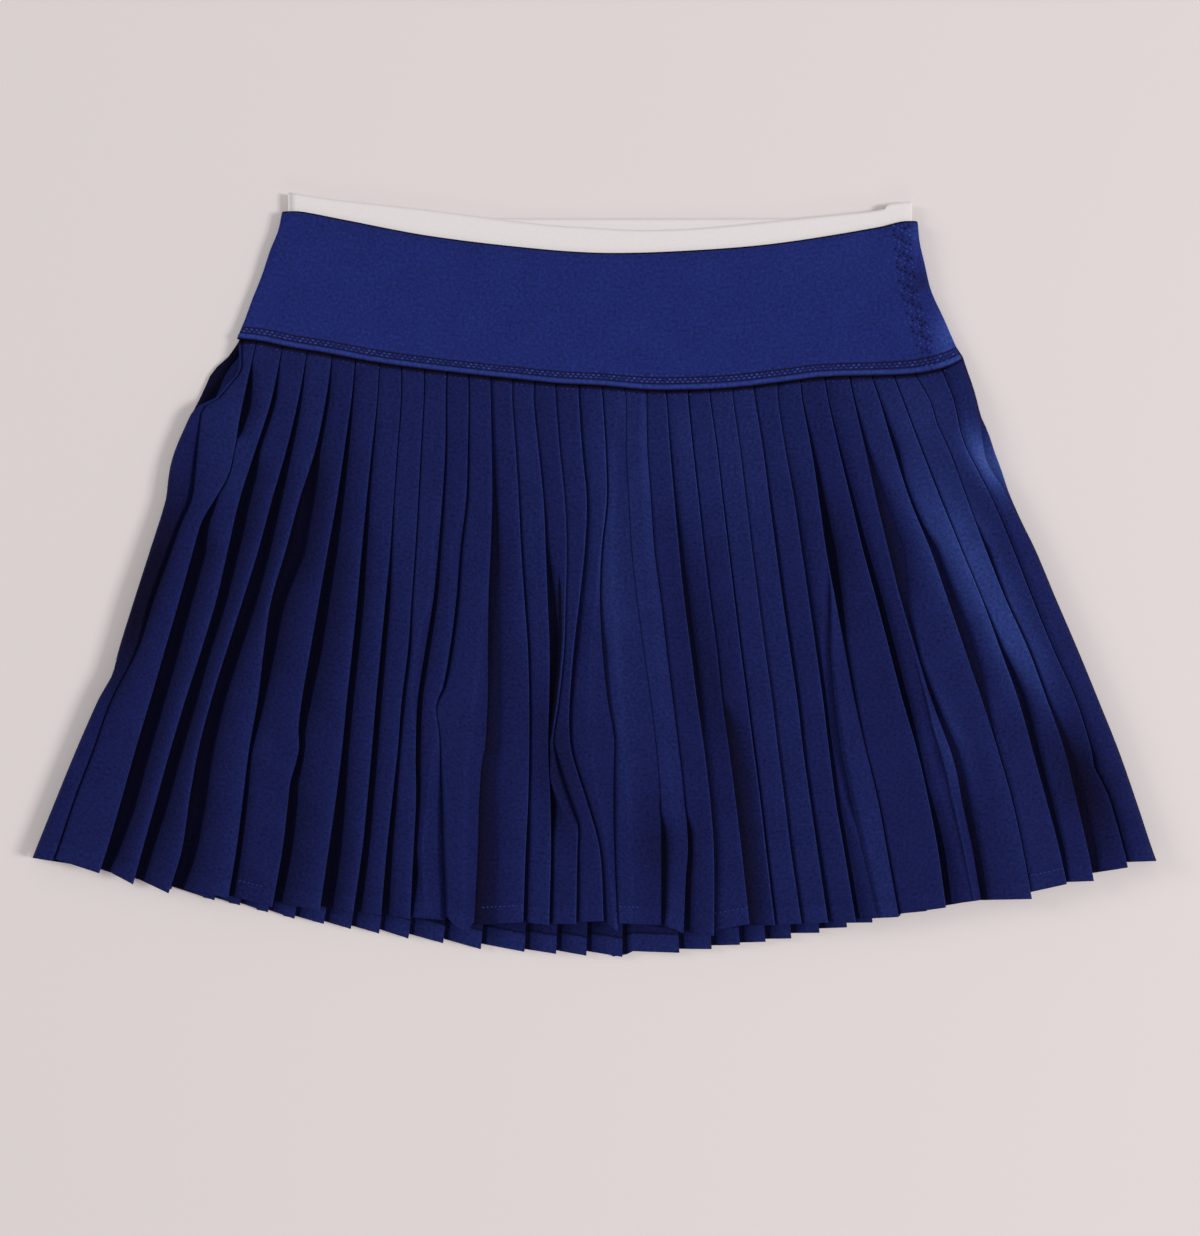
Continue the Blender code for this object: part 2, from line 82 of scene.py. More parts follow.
# Gaps from this width on are drawn from the fold's edge and not from its line.
GAP_FROM_EDGE = 4
# The least height that a face keeps over the inner fold where it falls.
FALL_CLEAR = 0.9
# How far a pleat turns back under its fold: the most, the least, and its share of the pleat. The
# first one lies near the edge, so its turn and its fold keep to these shares of the strip there.
TUCK_SEAM, TUCK_LEAST, TUCK_SHARE = 5.4, 2.2, 0.46
FIRST_TUCK, FIRST_NOSE = 0.8, 0.3
# The turned-up hem: how deep, how much it lifts the cloth, and over what width. Above the seam:
# how fast the panel narrows, how dark its painted shadow of the yoke's edge is, and where and how fast that
# ends.
HEM_ALLOWANCE, HEM_STEP, HEM_STEP_WIDTH = 8.8, 0.16, 0.4
# How light the front is up from its hem, (mm, tone): lighter over the turned-up part, with painted shade
# along its stitched line.
FRONT_HEM_TONES = ((0, 1.05), (8.4, 1.05), (9.2, 0.95), (12, 1))
SEAM_TAPER, SEAM_PAINTED_SHADOW, SEAM_SHADE_FROM, SEAM_SHADE = 0.9, 0.0, 0.003, 0.008

# Places are read on a drawing grid laid over the skirt: GRID millimetres a square, x to the right
# and y down, ORIGIN on the part's own origin. EYE is the middle the heights lean away from.
GRID = 0.52
ORIGIN = (594.0, 574.0)
EYE = (3.1, -22.9, 680.0)

LEVELS = (400, 450, 500, 550, 600, 650, 700, 750, 800, 850)

# The front's outer folds, left to right: x at the seam and at each of LEVELS, the corner at the
# hem, and how high the next face's hem starts.
FOLD_AT, HEM_X, HEM_Y, NEXT_Y = 0, 11, 12, 13
FRONT_FOLDS = (
    (257, 244, 235, 215, 194, 180, 165.5, 151, 136, 122, 107.5, 100, 873, 867),
    (283, 272, 256, 240, 228.5, 217, 202, 186, 171, 157, 143, 134, 884, 877),
    (308, 299, 287, 272.5, 259, 243.5, 227.5, 212, 199, 190, 182.5, 169.5, 893, 886),
    (333, 326.5, 316, 300, 286.5, 272, 264.5, 258.5, 249.7, 243.5, 237, 229, 898, 895),
    (356, 352, 345, 337.5, 328.5, 319.7, 311, 302.5, 299.5, 289, 283, 273, 907, 901),
    (380, 378, 372.5, 367.3, 362.5, 358, 353, 347.5, 342.7, 336.5, 329.3, 320.5, 911, 906),
    (402, 401.6, 398, 394.4, 391, 386.3, 381.5, 376.7, 372.5, 368, 363, 354, 913, 911),
    (425, 424.4, 421.6, 419, 416, 412.3, 408.8, 402.5, 398.5, 393, 387.5, 382, 915, 913),
    (447, 446.5, 446, 443, 439, 434, 426, 418.5, 416.5, 416.8, 414.3, 411, 919, 917),
    (469, 469.4, 468.6, 467, 461, 457, 450.5, 438, 440.5, 442, 443.5, 446.5, 920, 916),
    (491, 491.6, 492.6, 493, 491.4, 489.3, 488.8, 488.5, 485.7, 480, 478.6, 475, 923, 925),
    (513, 513, 516.6, 519.6, 522, 525.3, 528.8, 530, 530, 529, 526.5, 524, 922, 922),
    (535, 534.4, 539.4, 544.4, 546.6, 548.5, 550.5, 550, 549, 551.2, 551.8, 550, 925, 924),
    (556, 556.6, 560.6, 565.6, 567.6, 566.5, 564.8, 559.7, 556, 571, 578.2, 577, 924, 922),
    (579, 579.6, 583, 587.6, 585.6, 580.3, 574.5, 570.6, 572, 587, 600.5, 604.5, 921, 921),
    (602, 603.6, 606.6, 607.6, 602.4, 601, 603.3, 608.6, 615.3, 614.2, 615.4, 619, 931, 923),
    (625, 627, 627, 629.6, 632.4, 638, 644.4, 651.7, 657.5, 661.3, 662, 662, 925, 924),
    (647, 647.6, 648.4, 652, 655.4, 662, 667.7, 674, 680.3, 685.9, 689, 684.5, 933, 930),
    (666, 667.4, 671, 675.4, 680, 685.2, 691.7, 698, 705.2, 711, 714.7, 715, 936, 930),
    (689, 689, 694, 699.6, 705, 711, 717.8, 723, 730, 736.5, 742.4, 750.5, 924, 925),
    (710, 711, 718, 723.6, 729.6, 735.5, 741.7, 748.3, 754.7, 761.2, 767, 776, 925, 925),
    (733, 734, 741, 747, 753, 759.5, 766, 773, 779, 785.5, 791.7, 802.5, 923.5, 923.5),
    (754, 756, 764, 770.4, 777, 783.7, 791, 798.3, 804, 811, 818.4, 829, 922.5, 922),
    (778, 778.8, 786.3, 795.3, 802.5, 809.8, 817, 824, 830, 836.5, 845, 857, 922, 919),
    (801, 803, 812.5, 820, 827, 836.5, 846, 855.5, 867, 879, 888, 900, 917, 914),
    (825, 829, 840, 852, 864, 877.5, 890.5, 903.5, 918, 929.5, 939, 947, 907.5, 905),
    (850, 855, 866.5, 877.5, 889.5, 902, 917, 932.5, 951.3, 962.7, 973.5, 982, 900, 900),
    (872, 880.5, 895, 911, 931.5, 949, 966, 983, 998.8, 1013, 1024, 1033, 899, 892),
    (894, 903.6, 922.5, 942, 962.5, 983.3, 1001.5, 1019.5, 1033.5, 1047.3, 1060.5, 1068, 884, 882),
    (915, 930.5, 950, 968.5, 987, 1007, 1029.5, 1048, 1065.5, 1077.5, 1089, 1095, 881, 873),
    (942, 954.5, 968, 993.5, 1014.5, 1034, 1054.5, 1077, 1092.5, 1110.8, 1125, 1129, 867.5, 862),
)

# Where a fold has a kink between two of LEVELS: its number, y and x.
KINKS = (
    (1, 425, 239), (1, 437, 237.5), (1, 475, 229), (1, 520, 203), (5, 730, 299), (5, 745, 300),
    (5, 765, 296), (5, 783, 290.7), (10, 690, 443), (10, 712, 437), (10, 735, 440), (11, 760, 483),
    (14, 740, 554), (14, 775, 563), (14, 825, 578.7), (15, 725, 569.8), (15, 775, 579),
    (16, 725, 613.2), (16, 740, 615.4), (18, 875, 687), (27, 775, 958.3), (31, 425, 960),
    (31, 437, 963), (30, 425, 938.5), (31, 768, 1095.5), (31, 783, 1103.5),
)

# How deep the inner fold lies below an outer one where its gap doesn't say: {y: mm} by fold.
DEPTHS = down({
    11: {400: 2.6, 560: 3.4, 650: 2.6, 750: 2, 925: 1.9},
    12: {400: 1.8, 500: 2.4, 600: 3.4, 922: 3.2},
    13: {400: 1.8, 500: 2.4, 560: 3.6, 740: 5.4, 925: 3.2},
    14: {400: 2, 560: 1.7, 740: 1.9, 760: 3.6, 810: 3.6, 840: 2.4, 925: 2.4},
    15: {400: 2.4, 560: 3.4, 650: 3.2, 750: 2.6, 830: 1.8, 925: 2.2},
    16: {400: 1.6, 931: 1.9},
    17: {400: 1, 790: 1.2, 830: 3.4, 925: 3},
    18: {400: 1.3, 780: 1.3, 830: 3.6, 933: 3.4},
    20: {400: 2.2, 710: 2, 750: 1.9, 924: 1.9},
    22: {400: 1.2, 550: 1.4, 700: 2, 925: 2.6},
    27: {400: 2.3, 480: 2, 560: 1.8, 620: 2.2, 700: 3.4, 900: 4},
    28: {400: 2.2, 540: 3, 600: 3, 650: 2.3, 740: 1.5, 899: 1.5},
    29: {400: 1.7, 500: 1.7, 560: 1.5, 600: 1.8, 680: 3.4, 884: 2.4},
    30: {400: 1.2, 520: 1.3, 560: 2.4, 650: 2.2, 690: 2, 735: 2.2, 750: 3.6, 881: 3.4},
    31: {370: 1.4, 430: 0.9, 510: 0.9, 540: 2.2, 650: 1.7, 745: 1.8, 762: 3, 881: 2.6},
})

# How high a fold stands over the others: {y: mm}.
HEIGHTS = down({
    19: {450: 0, 600: 0.6, 800: 0.8, 936: 0.4},
})

# How wide the dark gap beside a fold is: {y: width in grid squares}.
GAPS = down({
    0: {345: 1, 430: 1.5, 640: 1.5, 860: 2},
    1: {
        360: 1, 390: 6, 405: 8, 428: 5, 440: 0.8, 495: 1.5, 515: 6, 550: 12, 600: 12, 650: 13, 700: 13,
        800: 14, 850: 10, 873: 7,
    },
    2: {360: 1, 400: 4, 450: 4, 475: 9, 525: 11, 600: 9, 650: 8, 700: 10, 800: 11, 884: 8},
    3: {360: 1, 400: 3, 450: 5, 500: 9, 600: 13, 700: 13, 800: 17, 893: 12},
    4: {360: 1, 400: 3, 450: 4, 475: 10, 500: 15, 550: 20, 600: 14, 650: 11, 700: 6, 750: 3, 800: 4, 898: 5},
    5: {360: 1, 400: 2, 500: 6, 550: 9, 650: 11, 700: 9, 750: 5, 800: 9, 850: 9, 907: 8},
    6: {400: 1, 500: 3, 600: 6, 750: 6, 850: 12, 911: 12},
    7: {400: 1, 500: 1, 550: 2, 600: 4, 700: 5, 850: 6, 913: 7},
    8: {400: 1, 600: 1.5, 650: 2.5, 700: 3, 750: 2.5, 850: 5, 915: 7},
    9: {400: 1, 560: 3, 650: 4.5, 700: 4.5, 850: 3, 875: 5, 919: 2},
    10: {400: 1, 550: 2.5, 650: 3, 685: 2.5, 712: 0.6, 740: 1, 780: 2, 900: 2, 920: 1.5},
    11: {400: 1, 500: 4, 560: 9, 650: 12, 760: 14, 850: 20, 925: 20},
    12: {400: 1, 800: 1.6, 840: 3, 922: 3.5},
    13: {400: 1, 500: 1, 550: 2, 600: 7, 650: 10, 700: 9, 740: 5, 760: 6, 800: 5, 840: 2, 925: 3},
    14: {400: 1, 600: 1, 700: 1.2, 745: 1, 800: 2, 850: 2, 924: 3},
    15: {400: 1, 500: 1.2, 560: 1.6, 650: 3, 700: 2.5, 760: 2, 820: 3, 850: 2.5, 921: 3},
    16: {400: 1.5, 600: 2, 650: 4, 750: 2, 800: 3, 850: 2, 931: 1},
    17: {400: 0.6, 780: 0.6, 810: 0.7, 830: 4.5, 850: 6, 900: 5, 925: 3},
    18: {400: 1, 560: 1.5, 700: 1.5, 812: 1, 830: 4, 850: 4, 900: 5, 933: 6},
    19: {400: 1, 500: 2, 600: 4, 700: 4, 750: 2.5, 850: 3, 936: 2},
    20: {400: 1, 700: 1, 725: 9, 760: 14, 850: 17, 924: 12},
    21: {400: 1, 700: 1.5, 925: 2},
    22: {400: 1, 600: 1.5, 925: 2.2},
    23: {400: 1, 600: 2, 800: 2, 925: 3},
    24: {400: 1, 500: 2, 800: 3, 922: 3.5},
    25: {400: 1, 450: 2.5, 500: 5, 550: 9, 600: 6, 640: 3, 700: 2, 750: 1, 917: 2},
    26: {400: 1, 600: 5, 700: 5, 750: 2.5, 780: 2, 850: 5.5, 907: 5},
    27: {400: 1, 450: 3, 475: 6, 500: 10, 550: 17, 580: 12, 610: 5, 660: 2, 700: 4, 750: 7, 800: 7, 900: 6},
    28: {400: 1, 450: 4, 480: 2, 530: 3, 550: 7, 590: 8, 625: 10, 675: 9, 705: 4, 740: 1.5, 899: 1},
    29: {400: 1, 500: 1.5, 600: 1, 650: 3, 675: 6, 700: 8, 750: 6, 850: 4, 884: 2},
    30: {400: 0.8, 520: 0.6, 550: 3, 600: 1.5, 650: 2, 700: 2, 750: 5, 780: 9, 850: 8, 881: 4},
    31: {400: 1, 650: 1, 745: 1.5, 762: 4, 785: 2, 881: 2.5},
})

# Where a face falls before its fold: the fold's number, then (y, width of the fall in grid
# squares, fall in mm) down it.
FALLS = {
    0: (
        (345, 0.5, 0.3), (405, 2, 0.4), (425, 4, 1.2), (450, 7, 3), (500, 11, 4.2), (600, 13, 4.2),
        (650, 9, 2.4), (700, 5, 0.8), (860, 4, 0.6),
    ),
    9: ((500, 1, 0), (540, 6, 0.8), (590, 4, 0.6), (620, 6, 0.9), (650, 10, 1.8), (700, 6, 1.2), (740, 1, 0)),
    10: (
        (480, 1, 0), (520, 6, 0.7), (550, 9, 1), (600, 6, 0.5), (660, 3, 0.3), (735, 1, 0.1), (760, 8, 1),
        (800, 13, 3), (850, 21, 4.2), (920, 20, 4.2),
    ),
    11: (
        (560, 1, 0), (600, 3, 0.5), (650, 8, 0.9), (700, 13, 1.2), (760, 15, 1.2), (800, 13, 1),
        (925, 11, 0.9),
    ),
    14: ((735, 1, 0), (755, 5, 2), (780, 13, 4), (805, 12, 4), (835, 1, 0)),
    16: (
        (540, 1, 0), (600, 3.5, 0.8), (650, 11, 1.8), (700, 17, 2.2), (735, 24, 2.4), (770, 21, 2.2),
        (800, 15, 1.8), (850, 8, 1.2), (931, 3, 0.5),
    ),
    17: ((400, 8, 0.6), (480, 14, 1.2), (600, 24, 1.6), (750, 34, 1.6), (925, 30, 1)),
    18: ((400, 6, 0.3), (600, 10, 0.5), (750, 14, 0.7), (933, 14, 0.7)),
    25: (
        (580, 1, 0), (600, 4, 0.4), (650, 14, 0.9), (700, 19, 0.9), (750, 24, 0.8), (800, 26, 0.7),
        (917, 20, 0.5),
    ),
    27: (
        (560, 1, 0.2), (650, 2.5, 0.6), (700, 4.5, 1.2), (730, 9, 2.2), (775, 10, 2.6), (850, 9, 2.6),
        (900, 8, 2.4),
    ),
}

# How high the next face starts beside a fold, sharp on its left: {y: share of the rise}.
LIFT_NARROW, LIFT_WIDE, WIDE_GAP = 0.92, 0.72, 5.0
LIFTS = down({
    0: {405: 0.7, 440: 0.95, 640: 0.95, 700: 0.7},
    9: {590: 0.72, 620: 0.95, 700: 0.95, 760: 0.72},
    10: {740: 0.72, 780: 0.95, 920: 0.9},
    11: {400: 0.45, 600: 0.45, 700: 0.6, 925: 0.7},
    12: {400: 0.4, 600: 0.45, 700: 0.6, 925: 0.7},
    13: {400: 0.4, 600: 0.5, 740: 0.6, 925: 0.7},
    14: {400: 0.4, 600: 0.4, 740: 0.72, 755: 1, 810: 1, 840: 0.72},
    15: {400: 0.35, 600: 0.35, 750: 0.6, 921: 0.7},
    16: {400: 1},
    17: {400: 1, 790: 1, 830: 0.8},
    19: {450: 0.7, 600: 0.35, 936: 0.4},
    20: {450: 0.7, 600: 0.4, 924: 0.45},
    22: {400: 0.6, 700: 0.4, 925: 0.5},
    23: {400: 0.5},
    24: {400: 0.4, 600: 0.4, 922: 0.7},
    30: {400: 0.95, 440: 1, 520: 1, 560: 0.8, 700: 0.7, 750: 0.3, 860: 0.4},
    31: {400: 0.95, 440: 1, 510: 1, 550: 0.85},
})

# How far a face goes on rising fast past the gap, in grid squares.
SOFT_LEAST, SOFT_PER_GAP = 1.0, 0.7
SOFT = {1: 7, 3: 7, 4: 9, 5: 14, 6: 8, 11: 5, 19: 8, 28: 5}

# How far a face's hem hangs below the line between its folds, in grid squares, from what share of
# the way down, and where it is lowest.
HEM_DIPS, DIP_FROM, DIP_MIDDLE = {10: 9.5}, 0.9, 1.15

# Troughs in a face, sharp on the right: the fold's number, then (y, x of the trough, width of
# its left side, depth in mm) down it.
DIVES = {
    25: (
        (570, 828, 2, 0), (600, 831, 7, 1.6), (650, 831.5, 9, 2.2), (700, 836, 9, 2.2), (750, 842.5, 9, 2),
        (800, 852.5, 8, 1.8), (830, 862, 5, 0.6), (850, 867, 4, 0.4), (917, 882, 4, 0.2),
    ),
    27: (
        (650, 912, 6, 0), (700, 927.5, 9, 0.9), (750, 939.8, 10, 1.2), (800, 954, 8, 0.8),
        (850, 964, 6, 0.4), (900, 975, 5, 0.2),
    ),
}
# A trough this deep is at its full change of painted light. How dark its painted shade is, and how light its
# painted light on the right and at the crest, how wide its sharp side is, and its height on the face: at its
# left, and how that grows.
DIVE_FULL, DIVE_SHADE, DIVE_TONE, DIVE_CREST_TONE = 1.5, 0.5, 1.25, 1.15
DIVE_SHARP, DIVE_START, DIVE_HEIGHT, DIVE_CLIMB = 1.3, 0.1, 0.45, 0.5

# Where the pleats catch the light or lie in shade: x, y, half width, half height, slant to the
# right for each step down, change of tone.
PLEAT_LIGHTS = (
    (988, 462, 16, 28, 0.5, 3), (960, 550, 36, 75, 0.45, 1.3), (1020, 650, 26, 60, 0.4, 1.1),
    (953, 745, 12, 50, 0.3, 1), (1085, 780, 30, 60, 0.4, -0.6), (620, 600, 25, 150, 0.1, 0.4),
    (700, 450, 90, 80, 0, 0.25), (555, 760, 25, 80, 0.2, -0.45), (660, 850, 28, 40, 0.1, -0.4),
    (147, 590, 18, 110, -0.33, -0.95), (230, 430, 50, 50, 0, 0.2), (716, 690, 22, 130, 0.18, -0.35),
    (920, 410, 40, 50, 0.3, 0.4),
)
LIGHT_LEAST = 0.15

# The panels' outlines: {y: x}. LEFT_ROLL is the first fold, beside the left edge.
LEFT_SIDE = line({
    430: 184, 450: 175.5, 465: 171, 480: 168.5, 500: 166, 550: 150.5, 600: 134.5, 650: 119, 675: 112.5,
    690: 104, 700: 98.5, 750: 76.5, 800: 56, 845: 38, 858: 33,
})
LEFT_EDGE = line({
    341: 239, 370: 239, 376: 235, 385: 227, 393: 221, 398: 216, 402: 209, 405: 201, 409: 194.5,
}) + LEFT_SIDE
LEFT_OUTLINE = line({
    341: 239, 350: 233, 357: 228, 371: 213, 388: 204.5, 400: 199, 410: 193.5,
}) + LEFT_SIDE
# The back's cloth inside the front's left edge is dark with painted shade down to this height, fading over
# this length to a lighter painted shade below.
LIP_END, LIP_FADE, LIP_PAINTED_SHADE, LIP_PAINTED_SHADE_BELOW = 398, 25, 0.16, 0.7
LEFT_ROLL = line({
    341: 240.5, 370: 240.5, 376: 236.5, 385: 228.5, 393: 222.5, 398: 218, 402: 211.5, 405: 205, 409: 200.5,
    430: 198, 450: 196, 480: 193, 500: 190, 520: 181, 550: 170, 600: 152, 650: 136, 700: 110, 750: 92,
    800: 73, 850: 56, 860: 52,
})
RIGHT_SIDE = line({
    550: 1035, 600: 1056, 650: 1077.5, 700: 1098, 750: 1118, 800: 1135.5, 850: 1152, 861: 1156,
})
RIGHT_OUTLINE = line({
    357: 963, 372: 968, 386: 973, 400: 977, 416: 981, 427: 986, 440: 991, 450: 994, 470: 1001.5, 490: 1008,
    500: 1012, 520: 1021,
}) + RIGHT_SIDE
FRONT_RIGHT = line({
    357: 961, 380: 969, 400: 975, 415: 979, 424: 981, 443: 983.4, 457: 985.6, 470: 991.4, 484: 1001.5,
    494: 1006.5, 500: 1009.5, 520: 1020,
}) + RIGHT_SIDE

# The back's outer folds at the hem: x, y of the corner and y where the next face starts.
BACK_HEM = (
    (85, 866, 864), (128, 878, 876), (171, 889, 886), (214, 900, 897), (239.5, 905, 902.4),
    (267.5, 912, 909.3), (294, 918.4, 915.3), (323.3, 923.7, 920.7), (350.4, 928.7, 925),
    (378.7, 933.3, 928.7), (408, 938.3, 933.3), (442.7, 943, 938.3), (480.4, 949, 943.3),
    (524, 951.6, 948.7), (555.7, 953.7, 950), (586, 955.5, 950.8), (622, 956.7, 950.7),
    (679, 952.7, 948.7), (711.3, 949, 945.3), (739.6, 944.7, 942.4), (765.3, 941.7, 938.7),
    (791, 938.4, 933), (819.3, 932.7, 928.3), (846.7, 927.3, 922.7), (872.3, 922.4, 917.3),
    (900.3, 915.7, 913.5), (926.7, 911, 908.7), (960, 903, 900), (1010, 891, 888), (1060, 878, 875),
    (1105, 866, 863),
)
BACK_SEAM_FIRST, BACK_SEAM_STEP, BACK_SPREAD_POWER = 261, 22.8, 0.92
# The face whose hem climbs from its fold's corner, and over what width.
BACK_POINT, BACK_POINT_WIDTH = 17, 11.0
# The back's turned-up hem, seen from inside: height, and (height over the hem in mm, tone). The tone is
# painted light on the turned-up part, a painted shadow along its edge and painted shade above it.
BACK_ALLOWANCE = 9.6
BACK_HEM_TONES = ((0, 1.2), (8.9, 1.2), (9.3, 0.3), (9.9, 0.3), (10.5, 0.7), (40, 1))

# The yoke's outline, {x: y} along its top and its seam and {y: x} down its sides.
YOKE_TOP = line({
    283: 211.5, 300: 211.5, 340: 219, 430: 236, 540: 249, 610: 253, 700: 250, 780: 243, 880: 227,
    902: 221.5, 917: 221,
})
YOKE_SEAM = line({
    236: 338, 262: 341.3, 290: 347.3, 320: 352, 380: 363, 450: 372, 520: 379.5, 560: 383.5, 600: 385.5,
    650: 389.8, 700: 389.5, 740: 387, 786: 381.5, 822: 377, 894: 375, 918: 373.3, 938: 369.5, 952: 364.8,
    962: 359.5,
})
YOKE_LEFT = line({
    212: 282, 235: 277, 250: 270.5, 290: 257, 305: 250.5, 320: 245.5, 335: 237.5, 341: 237,
})
YOKE_RIGHT = line({
    220.8: 917.6, 240.9: 919.6, 271.7: 927, 291.8: 932.3, 320: 945.7, 344: 956, 357: 962,
})
SIDE_SEAM = ((221, 901), (260, 904), (290, 909), (320, 917), (345, 924.5), (375, 931))
BACK_TOP_LIFT, BACK_SEAM_LIFT = 6.0, 2.5
YOKE_BACK_Z = 0.7
YOKE_FRONT_Z = ((0, 5.6), (0.25, 5.6), (0.55, 5), (0.85, 5.1), (1, 5.9))

# The yoke's turned and stitched edges: distance from the edge in grid squares, rise in mm.
YOKE_HEM = (
    (0, -0.45), (0.9, -0.3), (1.6, 0.1), (2.9, 0.45), (4.3, 0.35), (5.2, -0.1), (5.9, -0.35), (6.7, -0.15),
    (8, -0.1), (9.2, -0.2), (10.4, -0.1), (11.4, -0.2), (12.2, -0.35), (13.1, -0.05),
    (14.2, 0.05), (16, 0),
)
YOKE_RIM = ((0, -0.4), (1.5, -0.35), (2.2, 0), (5.5, -0.02), (8, 0.02), (10, -0.02), (12, 0))
YOKE_HEIGHT, YOKE_MIDDLE_ROWS = 135.0, 32
# Painted light and painted shade on the yoke, where it is lighter or darker: x, y, half width, half height,
# change of tone.
YOKE_PAINTED_LIGHTS = (
    (948, 335, 14, 26, 1.2), (915, 236, 8, 20, 0.5), (921, 280, 11, 14, -0.4), (830, 240, 90, 45, 0.1),
)
# Painted light and painted shade on the yoke's edges: how much lighter a ridge is for each mm, and how deep a
# groove is quite dark.
PAINTED_RIDGE_LIGHT, PAINTED_GROOVE_SHADE = 1.5, 0.45
# How dark the ground of the side seam's stitching is, its half width and the width of its edge.
SIDE_SEAM_TONE, SIDE_SEAM_HALF, SIDE_SEAM_FADE = 0.85, 9.0, 4.0
# Stitches along the yoke's lower edge: (how far above it, shift along it, lightness, from x, to x).
STITCH_ROWS = (
    (7.9, 0, 1, 240, 966), (10.4, 0.5, 1, 240, 966), (14, 0.25, 0.75, 590, 780),
    (5.2, 0.25, 1, 916, 966),
)
STITCH_PITCH, STITCH_START, STITCH_INSET, STITCH_TONE = 5.1, 4.0, 2.0, 1.9
STITCH_SIZE, SIDE_STITCH_SIZE, TOP_STITCH_SIZE = (1.5, 1.1, 0.65), (1.7, 0.8, 0.5), (1.2, 0.85, 0.5)
# The side seam's zigzag: shifts of its columns of stitches from the seam, and their pitch and slant.
SIDE_STITCH_PITCH, SIDE_STITCH_COLUMNS, SIDE_STITCH_SLANT = 4.6, (-7.6, -3.8, 0.0, 3.8, 7.6), 0.8
SIDE_STITCH_TONES = (2.6, 0.3, 2.1, 0.5, 2.4, 1.6, 0.2)
SIDE_STITCH_TOP, SIDE_STITCH_LOW = 5, 20
# How far a stitch's lightness strays from its row's.
STITCH_STRAY, STITCH_WAVES = 0.35, (12.9, 78.2, 3.0, 4.1)
HEM_STITCH_SIZE, HEM_STITCH_PITCH, HEM_STITCH_TONE, HEM_STITCH_AT = (1.2, 0.6, 0.3), 4.3, 2.8, (900, 10.0)
TOP_STITCH_SHARE, TOP_STITCH_LIGHT = 0.008, 0.9
# Where the hem's thread shows on the front, (x from, x to).
HEM_STITCHES = ((240, 262), (483, 524), (616, 641), (716, 748), (1031, 1062))

# The waistband's top edge, {x: y}, and where its ends, its back and its join lie.
BAND_TOP = line({
    288: 192.5, 319: 197.8, 352: 201.8, 382: 205, 430: 210.5, 540: 224.3, 601: 228.4, 642: 230.4,
    700: 228.4, 780: 220.7, 841: 214.6, 884.5: 209.2, 887: 205, 912: 201.5,
})
BAND_BACK_TOP_Y, BAND_BACK_BLEND = 218.7, 80
BAND_LEFT, BAND_RIGHT = 287.8, 912.0
BAND_TUCKED, BAND_STEPS, BAND_JOIN = 25, 90, (884.5, 885.5, 887)
BAND_BACK_Z, BAND_FRONT_Z = 2.35, 3.95


# ---------------------------------------------------------------- curves and grids
def curve(points, at, column=1):
    """A smooth line through rows of points, read at the first column's value."""
    xs, ys = [p[0] for p in points], [p[column] for p in points]
    at = min(max(at, xs[0]), xs[-1])
    i = min(max(bisect.bisect_right(xs, at) - 1, 0), len(xs) - 2)

    def slope(j):
        low, high = max(j - 1, 0), min(j + 1, len(xs) - 1)
        return (ys[high] - ys[low]) / (xs[high] - xs[low])

    width = xs[i + 1] - xs[i]
    t = (at - xs[i]) / width
    start = (2 * t**3 - 3 * t**2 + 1) * ys[i] + (t**3 - 2 * t**2 + t) * width * slope(i)
    end = (3 * t**2 - 2 * t**3) * ys[i + 1] + (t**3 - t**2) * width * slope(i + 1)
    return start + end


def steps(points, at, column=1):
    """Straight stretches through rows of points, read at the first column's value."""
    return float(np.interp(at, [p[0] for p in points], [p[column] for p in points]))


def mix(a, b, share):
    return a + (b - a) * share


def along(rows, share):
    """The first column's value at a share of the way down a line's rows."""
    return mix(rows[0][0], rows[-1][0], share)


def ease(t):
    t = min(max(t, 0.0), 1.0)
    return t * t * (3 - 2 * t)


def place(u, v, z):
    """The part's own x, y for a drawing place at height z."""
    x = (u - ORIGIN[0]) * GRID
    y = (ORIGIN[1] - v) * GRID
    lean = 1 - z / EYE[2]
    return mix(EYE[0], x, lean), mix(EYE[1], y, lean)


def add_object(name, data):
    obj = bpy.data.objects.new(name, data)
    bpy.context.scene.collection.objects.link(obj)
    return obj


def make_piece(name, points, faces, flat, tones, material):
    """A smooth mesh from points in millimetres, with the cloth's own lengths as UV, and its tones."""
    mesh = bpy.data.meshes.new(name)
    mesh.from_pydata((points * MM).tolist(), [], faces)
    layer = mesh.uv_layers.new(name="cloth")
    loops = np.empty(len(mesh.loops), np.int32)
    mesh.loops.foreach_get("vertex_index", loops)
    layer.data.foreach_set("uv", (flat * MM)[loops].astype(np.float32).ravel())
    # The tone attribute carries the painted light and painted shade, and the stitches' lightness.
    tone = mesh.attributes.new("tone", "FLOAT", "POINT")
    tone.data.foreach_set("value", np.ravel(tones).astype(np.float32))
    mesh.shade_smooth()
    mesh.materials.append(material)
    return add_object(name, mesh)


